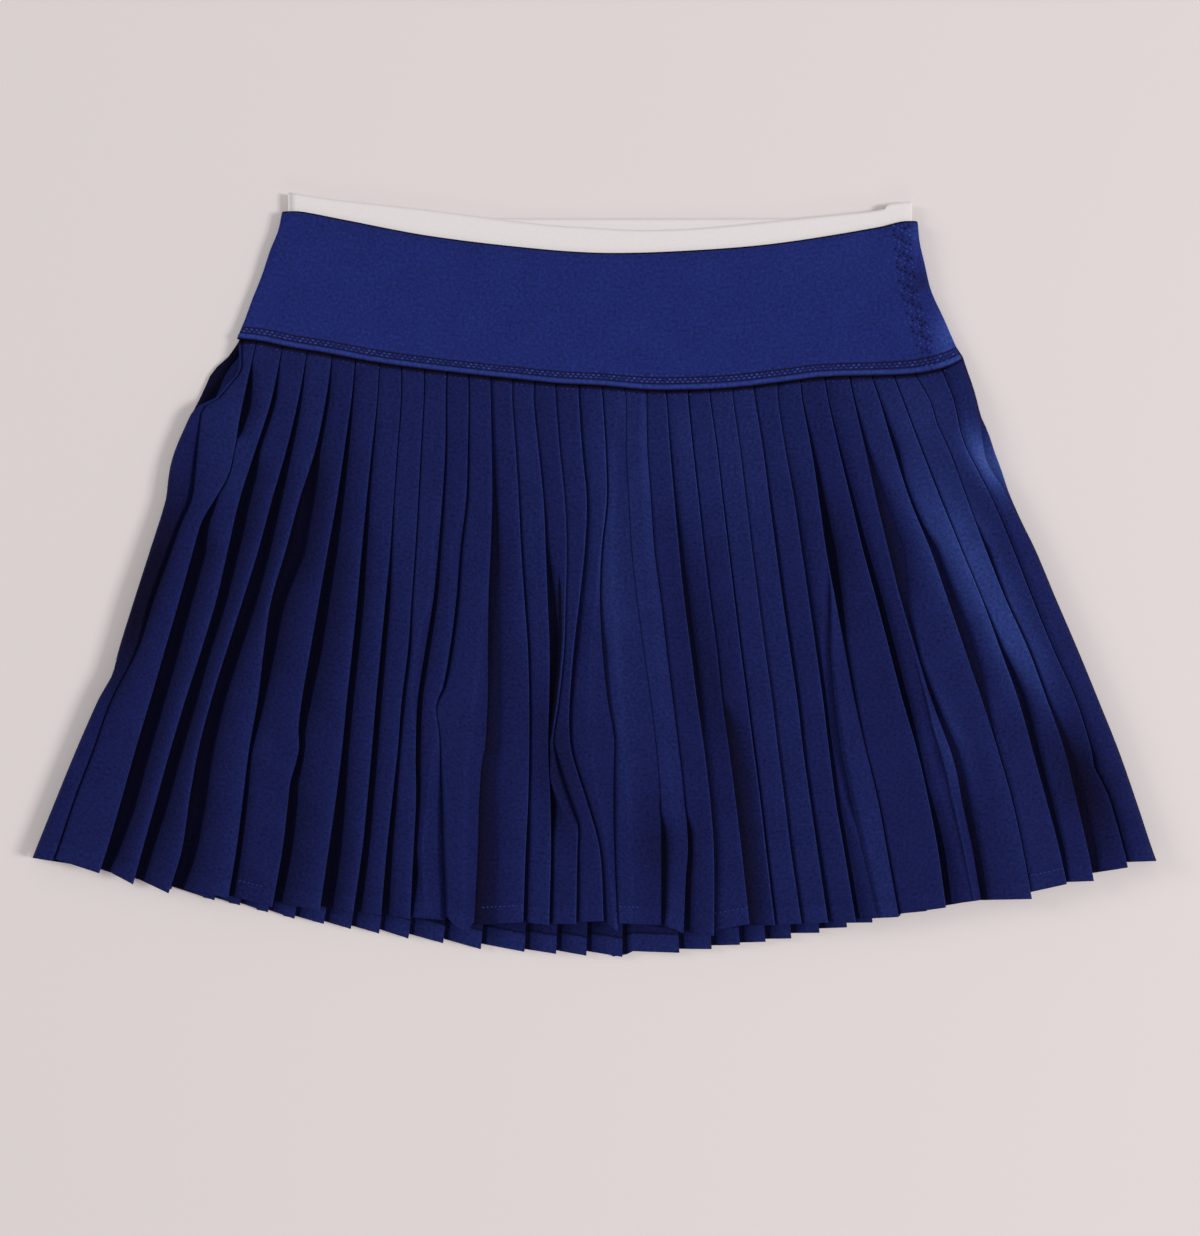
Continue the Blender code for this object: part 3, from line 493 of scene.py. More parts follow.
def sheet(name, rows, thickness, material, flip=False):
    """A sheet through a grid of points in millimetres, thickened, with its cloth lengths as UV."""
    points = np.array(rows, float)
    tones = points[..., 3] if points.shape[2] > 3 else np.ones(points.shape[:2])
    points = points[..., :3]
    n, m = points.shape[:2]
    index = np.arange(n * m).reshape(n, m)
    corners = [index[:-1, :-1], index[1:, :-1], index[1:, 1:], index[:-1, 1:]]
    quads = np.stack(corners, axis=-1).reshape(-1, 4)
    if flip:
        quads = quads[:, ::-1]
    across = np.linalg.norm(np.diff(points, axis=1), axis=2)
    u = np.concatenate([np.zeros((n, 1)), np.cumsum(across, axis=1)], axis=1)
    u -= u.mean(axis=1, keepdims=True)
    down = np.linalg.norm(np.diff(points, axis=0), axis=2)
    v = np.concatenate([np.zeros((1, m)), np.cumsum(down, axis=0)], axis=0)
    v = v[-1:] - v
    flat = np.stack([u.reshape(-1), v.reshape(-1)], axis=-1)
    obj = make_piece(name, points.reshape(-1, 3), quads.tolist(), flat, tones, material)
    solid = obj.modifiers.new("cloth", "SOLIDIFY")
    solid.thickness = thickness * MM
    solid.offset = 0.0
    return obj


# ---------------------------------------------------------------- the pleated panels
def seam_line(u):
    return curve(YOKE_SEAM, u)


def fold_path(number, row):
    """The drawn line of a fold from the seam to the hem, (y, x)."""
    path = [(seam_line(row[FOLD_AT]), row[FOLD_AT])]
    path += [(level, row[i + 1]) for i, level in enumerate(LEVELS)]
    path += [(y, x) for fold, y, x in KINKS if fold == number]
    path.append((row[HEM_Y], row[HEM_X]))
    return sorted((y, x - FOLD_EDGE) for y, x in path)


PATHS = [list(LEFT_ROLL)] + [fold_path(i + 1, row) for i, row in enumerate(FRONT_FOLDS)]
NEXT = [LEFT_ROLL[-1][0] - 2.0] + [row[NEXT_Y] for row in FRONT_FOLDS]


def front_fold(k, f):
    """Where fold k is at share f of its length, and what lies beside it."""
    path = PATHS[k]
    v = along(path, f)
    v_next = mix(path[0][0], NEXT[k], f)
    gap = steps(GAPS[k], v_next)
    gap += min(gap / GAP_FROM_EDGE, 1.0) * FOLD_EDGE
    fall_width = steps(FALLS[k], v, 1) if k in FALLS else 1.0
    fall = steps(FALLS[k], v, 2) if k in FALLS else 0.0
    top = curve(FRONT_TOP, f) + (steps(HEIGHTS[k], v) if k in HEIGHTS else 0.0)
    least = DEPTH_LEAST
    if k > FOLDS_LEFT:
        least = mix(DEPTH_SEAM, DEPTH_LEAST, ease((v - PRESSED_TO) / PRESSED_FADE))
    depth = max(min(least + DEPTH_PER_GAP * gap, DEPTH_MOST), fall + FALL_CLEAR)
    if k in DEPTHS:
        depth = steps(DEPTHS[k], v)
    low = max(top - depth, curve(FRONT_LEAST, f))
    wide = min(gap / WIDE_GAP, 1.0)
    deep = min(depth / DARK_DEPTH, 1.0)
    pleat = 1 + PLEAT_STRAY * math.sin(STRAY_STEP * k + STRAY_WARP * math.sin(STRAY_WARP_STEP * k))
    return SimpleNamespace(
        u=curve(path, v), v=v, u_next=curve(path, v_next), v_next=v_next, gap=gap, wide=wide,
        soft=SOFT.get(k, SOFT_LEAST + SOFT_PER_GAP * gap), nose=NOSE, top=top, low=low,
        lift=steps(LIFTS[k], v) if k in LIFTS else mix(LIFT_NARROW, LIFT_WIDE, wide),
        fall_width=fall_width, fall=min(fall, top - low - FALL_CLEAR), far=pleat * FAR_TONE,
        near=pleat * mix(NEAR_CLOSED, NEAR_OPEN, ease(gap / OPEN_GAP) * deep),
        floor_painted_shade=mix(TONE_NARROW, TONE_FLOOR, wide * deep),
        painted_edge_light_and_shade=mix(TONE_NOSE if k > FOLDS_LEFT else TONE_NOSE_LEFT, FALL_TONE, min(fall, 1.0)),
    )


def pleat_light(u, v):
    """How light the pleats are at a drawing place, over or under 1: painted light and painted shade where
    they catch the light or lie in shade.
    """
    tone = 1.0
    for x, y, wide, tall, slant, change in PLEAT_LIGHTS:
        tone += change * math.exp(-((u - x - slant * (v - y)) / wide) ** 2 - ((v - y) / tall) ** 2)
    return max(tone, LIGHT_LEAST)


def tuck(before, after):
    return min(max(TUCK_SHARE * min(before, after), TUCK_LEAST), TUCK_SEAM)


# Painted shade and painted highlight on the cloth: how dark it is under a fold, on a narrow and a wide gap's
# floor and on its wall, and how light at a crest and at the fold.
TONE_DEEP, TONE_NARROW, TONE_FLOOR, TONE_WALL, TONE_CREST, TONE_NOSE = 0.05, 0.75, 0.3, 0.85, 1.1, 1.7
# A wall that stands up past this share of the rise has no painted shade of its own.
HIGH_WALL, HIGH_WALL_TONE = 0.85, 1.06
# The most that a gap, and the softer part past it, take of the room between two folds.
GAP_MOST, SOFT_MOST = 0.7, 0.5
# A face under the fold before it: share of the way in, share of its rise. Then how far a narrow and
# a wide gap's floor reaches, with its rise, and how wide the wall past it is.
UNDER_AT, UNDER_RISE = 0.25, 0.05
FLOOR_NARROW, FLOOR_WIDE, FLOOR_RISE, WALL_WIDTH = 0.6, 0.92, 0.16, 0.8
# The rest of a face: share of the way to its crest, share of the rise left, from near to far tone.
FACE_SHAPE = ((0, 0.3, 0), (0.4, 0.58, 0.5), (0.8, 0.87, 1))
# The fall past a crest, in two parts: share of the way down, and share of the edge's painted highlight.
EDGE_PARTS = ((0.25, 0.7), (0.65, 1.0))
# The turn round a fold: the angle, and the share of the edge's painted highlight, down to painted shade under
# the fold.
TURN_TONES = ((90, 1), (45, 1.05), (0, 0.85), (-45, 0.5), (-90, 0.3))


def face(fold, ahead, depth_in, dive=None):
    """From the inner fold beside one outer fold to just before the next: drawn x, y and height."""
    low, lift = fold.low, fold.lift
    rise = ahead.top - low
    start, v0 = fold.u_next, fold.v_next
    end = ahead.u - ahead.fall_width
    gap = min(fold.gap, GAP_MOST * (end - start))
    on = start + gap + min(fold.soft, SOFT_MOST * (end - start - gap))
    near, far, wide = fold.near, fold.far, fold.wide
    wall_painted_shade = near * (HIGH_WALL_TONE if lift > HIGH_WALL else mix(1.0, TONE_WALL, wide))

    def point(u, height, tone):
        v = mix(v0, ahead.v, (u - start) / (ahead.u - start))
        return u, v, low + height * rise, tone

    # Painted shade under the fold before, on the gap's floor and on its wall.
    points = [
        point(start - (depth_in - fold.nose) / GRID, 0.0, TONE_DEEP),
        point(start - UNDER_AT * depth_in / GRID, UNDER_RISE, TONE_DEEP),
        point(start + mix(FLOOR_NARROW, FLOOR_WIDE, wide) * gap, FLOOR_RISE, fold.floor_painted_shade),
        point(start + gap + WALL_WIDTH, lift, wall_painted_shade),
    ]
    for share, up, tone in FACE_SHAPE:
        points.append(point(mix(on, end, share), mix(lift, 1, up), mix(near, far, tone)))
    crest_painted_light = TONE_CREST * far
    if dive:
        x, width, deep = dive
        share = min(deep / DIVE_FULL, 1.0)
        # Painted shade in the trough and painted light past its sharp side.
        trough = ((x - width, DIVE_START, near), (x, 1.0, mix(near, DIVE_SHADE * far, share)),
                  (x + DIVE_SHARP, 0.0, mix(far, DIVE_TONE, share)))
        points[len(points) - len(trough):] = [
            point(u, mix(lift, 1, DIVE_HEIGHT + DIVE_CLIMB * (u - start) / (ahead.u - start))
                  - cut * deep / rise, tone) for u, cut, tone in trough
        ]
        crest_painted_light = mix(crest_painted_light, DIVE_CREST_TONE, share)
    crest = point(end, 1.0, crest_painted_light)
    points.append(crest)
    for part, shade in EDGE_PARTS:
        points.append((mix(end, ahead.u, part), mix(crest[1], ahead.v, part),
                       ahead.top - part * ahead.fall, mix(points[-1][3], ahead.painted_edge_light_and_shade, shade)))
    return points


def bend(fold, depth_out):
    """Round the outer fold and back under it to the inner one."""
    top = fold.top - fold.fall
    nose = fold.nose
    x, y = place(fold.u, fold.v, top)
    # Painted highlight at the fold's nose, turning to painted shade under it.
    light = fold.painted_edge_light_and_shade * pleat_light(fold.u, fold.v)
    points = []
    for angle, tone in TURN_TONES:
        a = math.radians(angle)
        points.append((x - nose + nose * math.cos(a), y, top - nose + nose * math.sin(a), tone * light))
    low = fold.low
    x_in, y_in = place(fold.u_next, fold.v_next, low)
    x_in -= depth_out
    middle = (mix(x - nose, x_in + nose, 0.5), mix(y, y_in, 0.5), mix(top - 2 * nose, low + 2 * nose, 0.5))
    points.append(middle + (TONE_DEEP,))
    points.append((x_in + nose, y_in, low + 2 * nose, TONE_DEEP))
    points.append((x_in, y_in, low + nose, TONE_DEEP))
    return points


def laid(points):
    # Each point's tone takes the pleats' painted light and painted shade.
    return [place(u, v, z) + (z, tone * pleat_light(u, v)) for u, v, z, tone in points]


def dive_at(k, f, fold, ahead):
    if k + 1 not in DIVES:
        return None
    v = ahead.v
    rows = DIVES[k + 1]
    if v < rows[0][0]:
        before = curve(PATHS[k], rows[0][0])
        after = curve(PATHS[k + 1], rows[0][0])
        share = (rows[0][1] - before) / (after - before)
        width = steps(rows, v, 2) / (after - before) * (ahead.u - fold.u)
        return mix(fold.u, ahead.u, share), width, 0.0
    return curve(rows, v, 1), steps(rows, v, 2), steps(rows, v, 3)


# Heights of the front's edges in mm: at the very edge, and where the cloth has turned up beside it.
EDGE_Z, LEFT_TURN_Z, RIGHT_TURN_Z = 2.9, 4.1, 3.6
# The left strip from its turn to the first fold: share of the way, share of the rise, tone, a little darker
# near the turn as painted shade.
LEFT_STRIP = ((0.07, 0.5, 0.9), (0.16, 0.8, 1), (0.32, 0.93, 1), (0.6, 0.98, 1), (1, 1, 1))
LEFT_EDGE_PARTS = ((0.25, 0.5), (0.65, 1.0))
# The right strip past its gap: share of the width, share of the rise, from near to far tone.
RIGHT_STRIP = ((0.4, 0.92, 0), (0.6, 0.96, 0.5), (0.78, 0.88, 1), (0.9, 0.6, 1))


def left_strip(f, first):
    """From the front's left edge, on the back, up to just before the first outer fold."""
    v = along(LEFT_EDGE, f)
    edge = curve(LEFT_EDGE, v)
    end = first.u - first.fall_width
    top = first.top
    # Painted shade where the strip turns down at the front's left edge.
    shares = [(0.0, EDGE_Z, 0.3), (0.02, LEFT_TURN_Z, 0.6)]
    shares += [(share, mix(LEFT_TURN_Z, top, up), tone) for share, up, tone in LEFT_STRIP]
    points = [(mix(edge, end, share), mix(v, first.v, share), z, tone) for share, z, tone in shares]
    for part, shade in LEFT_EDGE_PARTS:
        tone = mix(1, first.painted_edge_light_and_shade, shade)
        points.append((mix(end, first.u, part), first.v, top - part * first.fall, tone))
    return laid(points)


def right_strip(f, last, depth_in):
    """From the inner fold beside the last outer fold to the front's right edge."""
    v = along(FRONT_RIGHT, f)
    edge = curve(FRONT_RIGHT, v)
    top, low, near, far, start = last.top, last.low, last.near, last.far, last.u_next
    width = edge - start
    # Painted shade under the last fold and in its gap, and where the strip turns down at the front's right
    # edge.
    profile = [
        (start - (depth_in - NOSE) / GRID, low, TONE_DEEP),
        (start - UNDER_AT * depth_in / GRID, low + 0.1, TONE_DEEP),
        (start + 0.3 * last.gap, mix(low, top, 0.1), TONE_FLOOR),
        (start + min(last.gap + 0.5, 0.3 * width), mix(low, top, 0.8), TONE_WALL * near),
    ]
    profile += [(start + s * width, mix(low, top, up), mix(near, far, t)) for s, up, t in RIGHT_STRIP]
    profile += [
        (start + 0.96 * width, mix(RIGHT_TURN_Z, top, 0.25), 0.6 * far),
        (start + 0.995 * width, RIGHT_TURN_Z, 0.3), (edge, EDGE_Z, 0.2),
    ]
    return laid([(u, mix(last.v_next, v, (u - start) / width), z, tone) for u, z, tone in profile])


def under_yoke(points, f):
    """Above the seam the panel narrows, so that the yoke hides it, and just below the seam it carries a
    painted shadow of the yoke's edge.
    """
    scale = 1 + SEAM_TAPER * min(f, 0.0)
    shade = mix(SEAM_PAINTED_SHADOW, 1.0, ease((f - SEAM_SHADE_FROM) / SEAM_SHADE))
    return [(x * scale, y, z, tone * shade) for x, y, z, tone in points]


def front_row(f):
    folds = [front_fold(k, f) for k in range(len(PATHS))]
    edge = curve(FRONT_RIGHT, along(FRONT_RIGHT, f))
    points = left_strip(f, folds[0])
    depth = TUCK_LEAST
    for k, fold in enumerate(folds):
        after = (folds[k + 1].u if k + 1 < len(folds) else edge) - fold.u
        before = fold.u - folds[k - 1].u if k else after
        depth = tuck(before * GRID, after * GRID)
        if k == 0:
            strip = (fold.u - curve(LEFT_EDGE, fold.v)) * GRID
            depth = min(depth, FIRST_TUCK * strip)
            fold.nose = min(NOSE, FIRST_NOSE * strip)
        points += bend(fold, depth)
        if k + 1 < len(folds):
            dive = dive_at(k, f, fold, folds[k + 1])
            made = face(fold, folds[k + 1], depth, dive)
            if k in HEM_DIPS:
                dip = HEM_DIPS[k] * ease((f - DIP_FROM) / 0.1)
                u0, u1 = fold.u_next, folds[k + 1].u
                made = [(u, v + dip * max(0.0, 1 - ((u - u0) / (u1 - u0) * 2 - DIP_MIDDLE) ** 2), z, tone)
                        for u, v, z, tone in made]
            points += laid(made)
    points += right_strip(f, folds[-1], depth)
    return under_yoke(points, f)


def back_fold(k, f):
    hem_u, hem_v, next_v = BACK_HEM[k]
    start = BACK_SEAM_FIRST + k * BACK_SEAM_STEP
    top = curve(YOKE_SEAM, start)
    u = mix(start, hem_u, max(f, 0.0) ** BACK_SPREAD_POWER)
    return u, mix(top, hem_v, f), mix(top, next_v, f)


# Height of the back's left edge, and of the bulge beside it at the seam and at the hem.
BACK_EDGE_Z, BACK_BULGE_SEAM, BACK_BULGE_HEM = 0.9, 1.6, 2.4
# The back's right strip: share of the way and height in mm.
BACK_RIGHT = ((0, BACK_LOW), (0.4, 1.4), (0.8, 2.4), (0.93, 2.7), (0.98, 2.3), (1, 1.4))
# How far the edges stay inside the outline, how far in the first inner fold lies, and the gaps.
BACK_INSET, BACK_STRIP_SHARE = 0.6, 0.4
BACK_GAP_SEAM, BACK_GAP_HEM, BACK_GAP_MOST = 1.0, 7.0, 0.4


def back_left(f, left, v_left, first):
    """From the back's left edge to its first inner fold, and where that is."""
    inside, v_in = mix(left, first[0], BACK_STRIP_SHARE), mix(v_left, first[1], BACK_STRIP_SHARE)
    bulge = mix(BACK_BULGE_SEAM, BACK_BULGE_HEM, ease(f * 4))
    strip = (
        (0.0, BACK_EDGE_Z), (0.03, 1.5), (0.12, mix(BACK_EDGE_Z, bulge, 0.75)), (0.3, bulge),
        (0.5, mix(BACK_EDGE_Z, bulge, 0.85)), (0.72, 1.2), (1.0, BACK_LOW),
    )
    # Painted shade on the back's cloth inside the front's left edge.
    shade = mix(LIP_PAINTED_SHADE, LIP_PAINTED_SHADE_BELOW, ease((v_left - LIP_END) / LIP_FADE))
    points = [(mix(left + BACK_INSET, inside, s), mix(v_left, v_in, s), z, shade) for s, z in strip]
    return laid(points), inside, v_in


def back_row(f):
    top = curve(BACK_TOP, f)
    v_left = along(LEFT_OUTLINE, f)
    v_right = along(RIGHT_OUTLINE, f)
    left, right = curve(LEFT_OUTLINE, v_left), curve(RIGHT_OUTLINE, v_right)
    folds = [back_fold(k, f) for k in range(len(BACK_HEM))]
    points, inside, v_in = back_left(f, left, v_left, folds[0])
    start, depth = inside, 0.0
    for k, (u, v, v_next) in enumerate(folds):
        before = u - (folds[k - 1][0] if k else inside)
        after = (folds[k + 1][0] if k + 1 < len(folds) else right) - u
        gap = min(mix(BACK_GAP_SEAM, BACK_GAP_HEM, max(f, 0.0) ** 2), BACK_GAP_MOST * before)
        # Painted shade under each fold, on the gap's floor and wall, and painted highlight at the crest.
        profile = (
            (start + (NOSE - depth) / GRID, 0.0, TONE_DEEP), (start + 0.7 * gap, 0.12, TONE_FLOOR),
            (start + gap, 0.62, TONE_WALL), (mix(start + gap, u, 0.5), 0.86, 1.0), (u - 2.0, 1.0, TONE_CREST),
        )
        rise = 0.0
        if k == BACK_POINT:
            profile = profile[:3] + ((start + BACK_POINT_WIDTH, 0.75, 1.0),) + profile[3:]
            rise = (BACK_HEM[k - 1][1] - BACK_HEM[k - 1][2]) * max(f, 0.0) ** 8
        made = []
        for a, share, tone in profile:
            fallen = rise * min(max(0.0, 1 - (a - start) / BACK_POINT_WIDTH), 1.0)
            at = mix(v_in, v, (a - start) / (u - start)) + fallen
            made.append((a, at, mix(BACK_LOW, top, share), tone))
        points += laid(made)
        depth = tuck(before * GRID, after * GRID)
        points += bend(SimpleNamespace(
            u=u, v=v, u_next=u, v_next=v_next, top=top, low=BACK_LOW, fall=0, nose=NOSE, painted_edge_light_and_shade=1,
        ), depth)
        v_in, start = v_next, u
    first, end = start + (NOSE - depth) / GRID, right - BACK_INSET
    points += laid([(mix(first, end, share), mix(v_in, v_right, share), z, 1.0) for share, z in BACK_RIGHT])
    return under_yoke(points, f)


# Rows of points close together: round the hem's stitched line, at the hem itself (mm) and at the
# seam (share of the length).
ALLOWANCE_ROWS = (0.9, 0.4, 0, -0.4, -0.9)
HEM_ROWS = (6, 3, 1.2, 0.4, 0)
SEAM_ROWS = (-0.02, -0.012, -0.006, 0, 0.003, 0.006, 0.009, 0.012, 0.02, 0.03, 0.04, 0.05)


def row_shares(count, length, allowance):
    """Shares of the way from above the seam to the hem, closer together at both ends."""
    hem = [1 - (allowance + h) / length for h in ALLOWANCE_ROWS] + [1 - h / length for h in HEM_ROWS]
    middle = list(np.linspace(SEAM_ROWS[-1], hem[0], count - len(hem) - len(SEAM_ROWS) + 2))[1:-1]
    return list(SEAM_ROWS) + middle + hem


def with_hem(make_row, count, length, allowance, tones):
    """A panel's shares and rows, with the turned-up hem a little thicker, lighter over its turned-up part and
    with painted shade along its lines.
    """
    shares = row_shares(count, length, allowance)
    rows = []
    for f in shares:
        above = (1 - f) * length
        lift = HEM_STEP * ease((allowance - above) / HEM_STEP_WIDTH + 1)
        shade = steps(tones, above)
        rows.append([(x, y, z + lift, tone * shade) for x, y, z, tone in make_row(f)])
    return shares, rows


# ---------------------------------------------------------------- yoke and waistband
def drawn(points, z):
    return [place(u, v, z) for u, v in points]


# The heights at which the yoke's outline is laid out.
SEAM_MM, TOP_MM, SIDE_Z = drawn(YOKE_SEAM, 6.0), drawn(YOKE_TOP, 5.6), 3.2
SIDE_SHARES = (0, 0.15, 0.3, 0.5, 0.7, 0.85, 1)


def side_row(share):
    left_v = along(YOKE_LEFT, share)
    right_v = along(YOKE_RIGHT, share)
    left = place(curve(YOKE_LEFT, left_v), left_v, SIDE_Z)[0]
    right = place(curve(YOKE_RIGHT, right_v), right_v, SIDE_Z)[0]
    return share, left, right


SIDES = [side_row(share) for share in SIDE_SHARES]


def side_x(f, side):
    return curve(SIDES, f, side)


def side_bulge(x, edge):
    left, right = edge[0][0], edge[-1][0]
    q = min(max((2 * x - left - right) / (right - left), -1.0), 1.0)
    return 1 - q * q


def yoke_y(x, f, back):
    share = (x - side_x(f, 1)) / (side_x(f, 2) - side_x(f, 1))
    top_x = mix(side_x(0.0, 1), side_x(0.0, 2), share)
    low_x = mix(side_x(1.0, 1), side_x(1.0, 2), share)
    top, low = curve(TOP_MM, top_x), curve(SEAM_MM, low_x)
    if back:
        top += BACK_TOP_LIFT * side_bulge(top_x, TOP_MM)
        low += BACK_SEAM_LIFT * side_bulge(low_x, SEAM_MM)
    return mix(top, low, f)


SIDE_SEAM_MM = [(-y, x) for x, y in (place(u, v, YOKE_FRONT_Z[0][1]) for v, u in SIDE_SEAM)]


def yoke_painted_light_and_seam_ground(x, y):
    # Painted light and painted shade on the yoke, times the darker ground of the side seam.
    tone = 1.0
    for u, v, wide, tall, change in YOKE_PAINTED_LIGHTS:
        px, py = place(u, v, YOKE_FRONT_Z[0][1])
        tone += change * math.exp(-((x - px) / (wide * GRID)) ** 2 - ((y - py) / (tall * GRID)) ** 2)
    from_seam = abs(x - curve(SIDE_SEAM_MM, -y)) / GRID
    return tone * mix(SIDE_SEAM_TONE, 1.0, ease((from_seam - SIDE_SEAM_HALF) / SIDE_SEAM_FADE + 0.5))


def painted_relief_light_and_shade(rise):
    """Painted light on ridges and painted shade in grooves: ridges are lighter than the cloth round them, and
    grooves darker.
    """
    return 1 + PAINTED_RIDGE_LIGHT * rise if rise > 0 else (1 - min(-rise / PAINTED_GROOVE_SHADE, 1.0)) ** 2


def stray(i, j):
    """A stitch's own share of its row's lightness."""
    a, b, c, d = STITCH_WAVES
    return 1 + STITCH_STRAY * math.sin(a * i + b * j + c * math.sin(d * i))


def yoke_shares():
    """Shares down the yoke, closer together at its turned edges."""
    rim = [d / YOKE_HEIGHT for d, _ in YOKE_RIM]
    hem = [1 - d / YOKE_HEIGHT for d, _ in reversed(YOKE_HEM)]
    return rim + list(np.linspace(rim[-1], hem[0], YOKE_MIDDLE_ROWS))[1:-1] + hem


# Steps across the front yoke's face, its turned part, the back's face, its turned part and a turn.
YOKE_STEPS, TURNED_STEPS, YOKE_BACK_STEPS, YOKE_SIDE_STEPS, TURN_STEPS = 110, 6, 60, 14, 8
SIDE_SEAM_GAP = 0.03


def yoke_row(f, is_front):
    z_front, z_back = curve(YOKE_FRONT_Z, f), YOKE_BACK_Z
    left, right = side_x(f, 1) + KNIT / 2, side_x(f, 2) - KNIT / 2
    radius = (z_front - z_back) / 2
    right_v = along(SIDE_SEAM, f)
    seam_in = right - place(curve(SIDE_SEAM, right_v), right_v, z_front)[0]
    rise = steps(YOKE_HEM, (1 - f) * YOKE_HEIGHT) + steps(YOKE_RIM, f * YOKE_HEIGHT)
    z_front += rise
    # Painted light on the ridges and painted shade in the grooves of the yoke's turned edges.
    painted_edge_light_and_shade = painted_relief_light_and_shade(rise)

    def painted_light_and_seam_at(x, y):
        return painted_edge_light_and_shade * yoke_painted_light_and_seam_ground(x, y)
        return painted_edge_light_and_shade * yoke_painted_light_and_seam_ground(x, y)

    def run(start, stop, count, z, back):
        xs = [mix(start, stop, i / count) for i in range(count + 1)]
        return [(x, yoke_y(x, f, back), z, painted_edge_light_and_shade if back else painted_light_and_seam_at(x, yoke_y(x, f, back))) for x in xs]

    def turned(edge, inward, z_from, z_to):
        out = []
        for i in range(1, TURN_STEPS):
            angle = math.pi * i / TURN_STEPS
            x = edge + inward * radius * (1 - math.sin(angle))
            z = (z_from + z_to) / 2 + (z_from - z_to) / 2 * math.cos(angle)
            y = yoke_y(x, f, False)
            out.append((x, y, z, painted_light_and_seam_at(x, y)))
        return out

    near_left, gap = max(seam_in, radius + 1), SIDE_SEAM_GAP
    if is_front:
        return (run(right - seam_in - gap, left + radius, YOKE_STEPS, z_front, False)
                + turned(left, 1, z_front, z_back)
                + run(left + radius, left + near_left - gap, TURNED_STEPS, z_back, True))
    return (run(left + near_left + gap, right - radius, YOKE_BACK_STEPS, z_back, True)
            + turned(right, -1, z_back, z_front)
            + run(right - radius, right - seam_in + gap, YOKE_SIDE_STEPS, z_front, False))


BAND_TOP_MM = drawn(BAND_TOP, BAND_FRONT_Z)
BAND_BACK_Y = place(600, BAND_BACK_TOP_Y, BAND_BACK_Z)[1]
BAND_X = (place(BAND_LEFT, 200, SIDE_Z)[0], place(BAND_RIGHT, 200, SIDE_Z)[0])


def band_y(x, f, back):
    front_top = curve(BAND_TOP_MM, x)
    blend = ease(min(x - BAND_X[0], BAND_X[1] - x) / (BAND_BACK_BLEND * GRID))
    top = max(front_top, mix(front_top, BAND_BACK_Y, blend)) if back else front_top
    return mix(top, curve(TOP_MM, x) - BAND_TUCKED * GRID, f)


def band_row(f):
    radius = (BAND_FRONT_Z - BAND_BACK_Z) / 2
    middle = (BAND_FRONT_Z + BAND_BACK_Z) / 2
    left, right = BAND_X[0] + ELASTIC / 2 + radius, BAND_X[1] - ELASTIC / 2 - radius
    xs = [mix(left, right, i / BAND_STEPS) for i in range(BAND_STEPS + 1)]
    xs = sorted(xs + [place(u, 205, BAND_FRONT_Z)[0] for u in BAND_JOIN])

    def turned(x, angles):
        y = band_y(x, f, False)
        turns = [math.radians(a) for a in angles]
        return [(x + radius * math.cos(a), y, middle + radius * math.sin(a)) for a in turns]

    ring = [(x, band_y(x, f, False), BAND_FRONT_Z) for x in xs] + turned(right, (60, 30, 0, -30, -60))
    ring += [(x, band_y(x, f, True), BAND_BACK_Z) for x in reversed(xs)]
    ring += turned(left, (240, 210, 180, 150, 120))
    return ring + ring[:1]


# ---------------------------------------------------------------- stitches
def surface(row, x):
    """(y, z) of the highest cloth at x on a row of the front panel."""
    best = (row[0][1], 0.0)
    for a, b in zip(row, row[1:]):
        if a[0] != b[0] and min(a[0], b[0]) <= x <= max(a[0], b[0]):
            share = (x - a[0]) / (b[0] - a[0])
            if mix(a[2], b[2], share) > best[1]:
                best = (mix(a[1], b[1], share), mix(a[2], b[2], share))
    return best


THREAD_SIDES, THREAD_RINGS, THREAD_END, THREAD_LIFT = 6, (-0.95, -0.55, 0.0, 0.55, 0.95), 0.08, 0.08


def stitches(name, places, material):
    """Short threads, each a small rounded lump: x, y, z, angle, (length, width, height), tone."""
    sides, rings = THREAD_SIDES, len(THREAD_RINGS)
    points, faces, tones = [], [], []
    for x, y, z, angle, (length, width, height), tone in places:
        first = len(points)
        c, s = math.cos(angle), math.sin(angle)
        for along in THREAD_RINGS:
            girth = math.sqrt(max(1 - along * along, THREAD_END))
            for i in range(sides):
                turn = 2 * math.pi * i / sides
                a, b = along * length / 2, girth * width / 2 * math.cos(turn)
                points.append((x + a * c - b * s, y + a * s + b * c, z + girth * height / 2 * math.sin(turn)))
                tones.append(tone)
        for at in range(first, first + (rings - 1) * sides, sides):
            for i in range(sides):
                j = (i + 1) % sides
                faces.append((at + i, at + sides + i, at + sides + j, at + j))
        faces.append(tuple(first + i for i in range(sides)))
        faces.append(tuple(first + (rings - 1) * sides + i for i in reversed(range(sides))))
    points = np.array(points)
    return make_piece(name, points, faces, points[:, :2], tones, material)


def yoke_face(u, above):
    """The yoke's face a distance above its lower edge: x, y, z."""
    f = 1 - above / YOKE_HEIGHT
    z = curve(YOKE_FRONT_Z, f) + steps(YOKE_HEM, above) + KNIT / 2
    x = place(u, seam_line(u), z)[0]
    return x, yoke_y(x, f, False), z


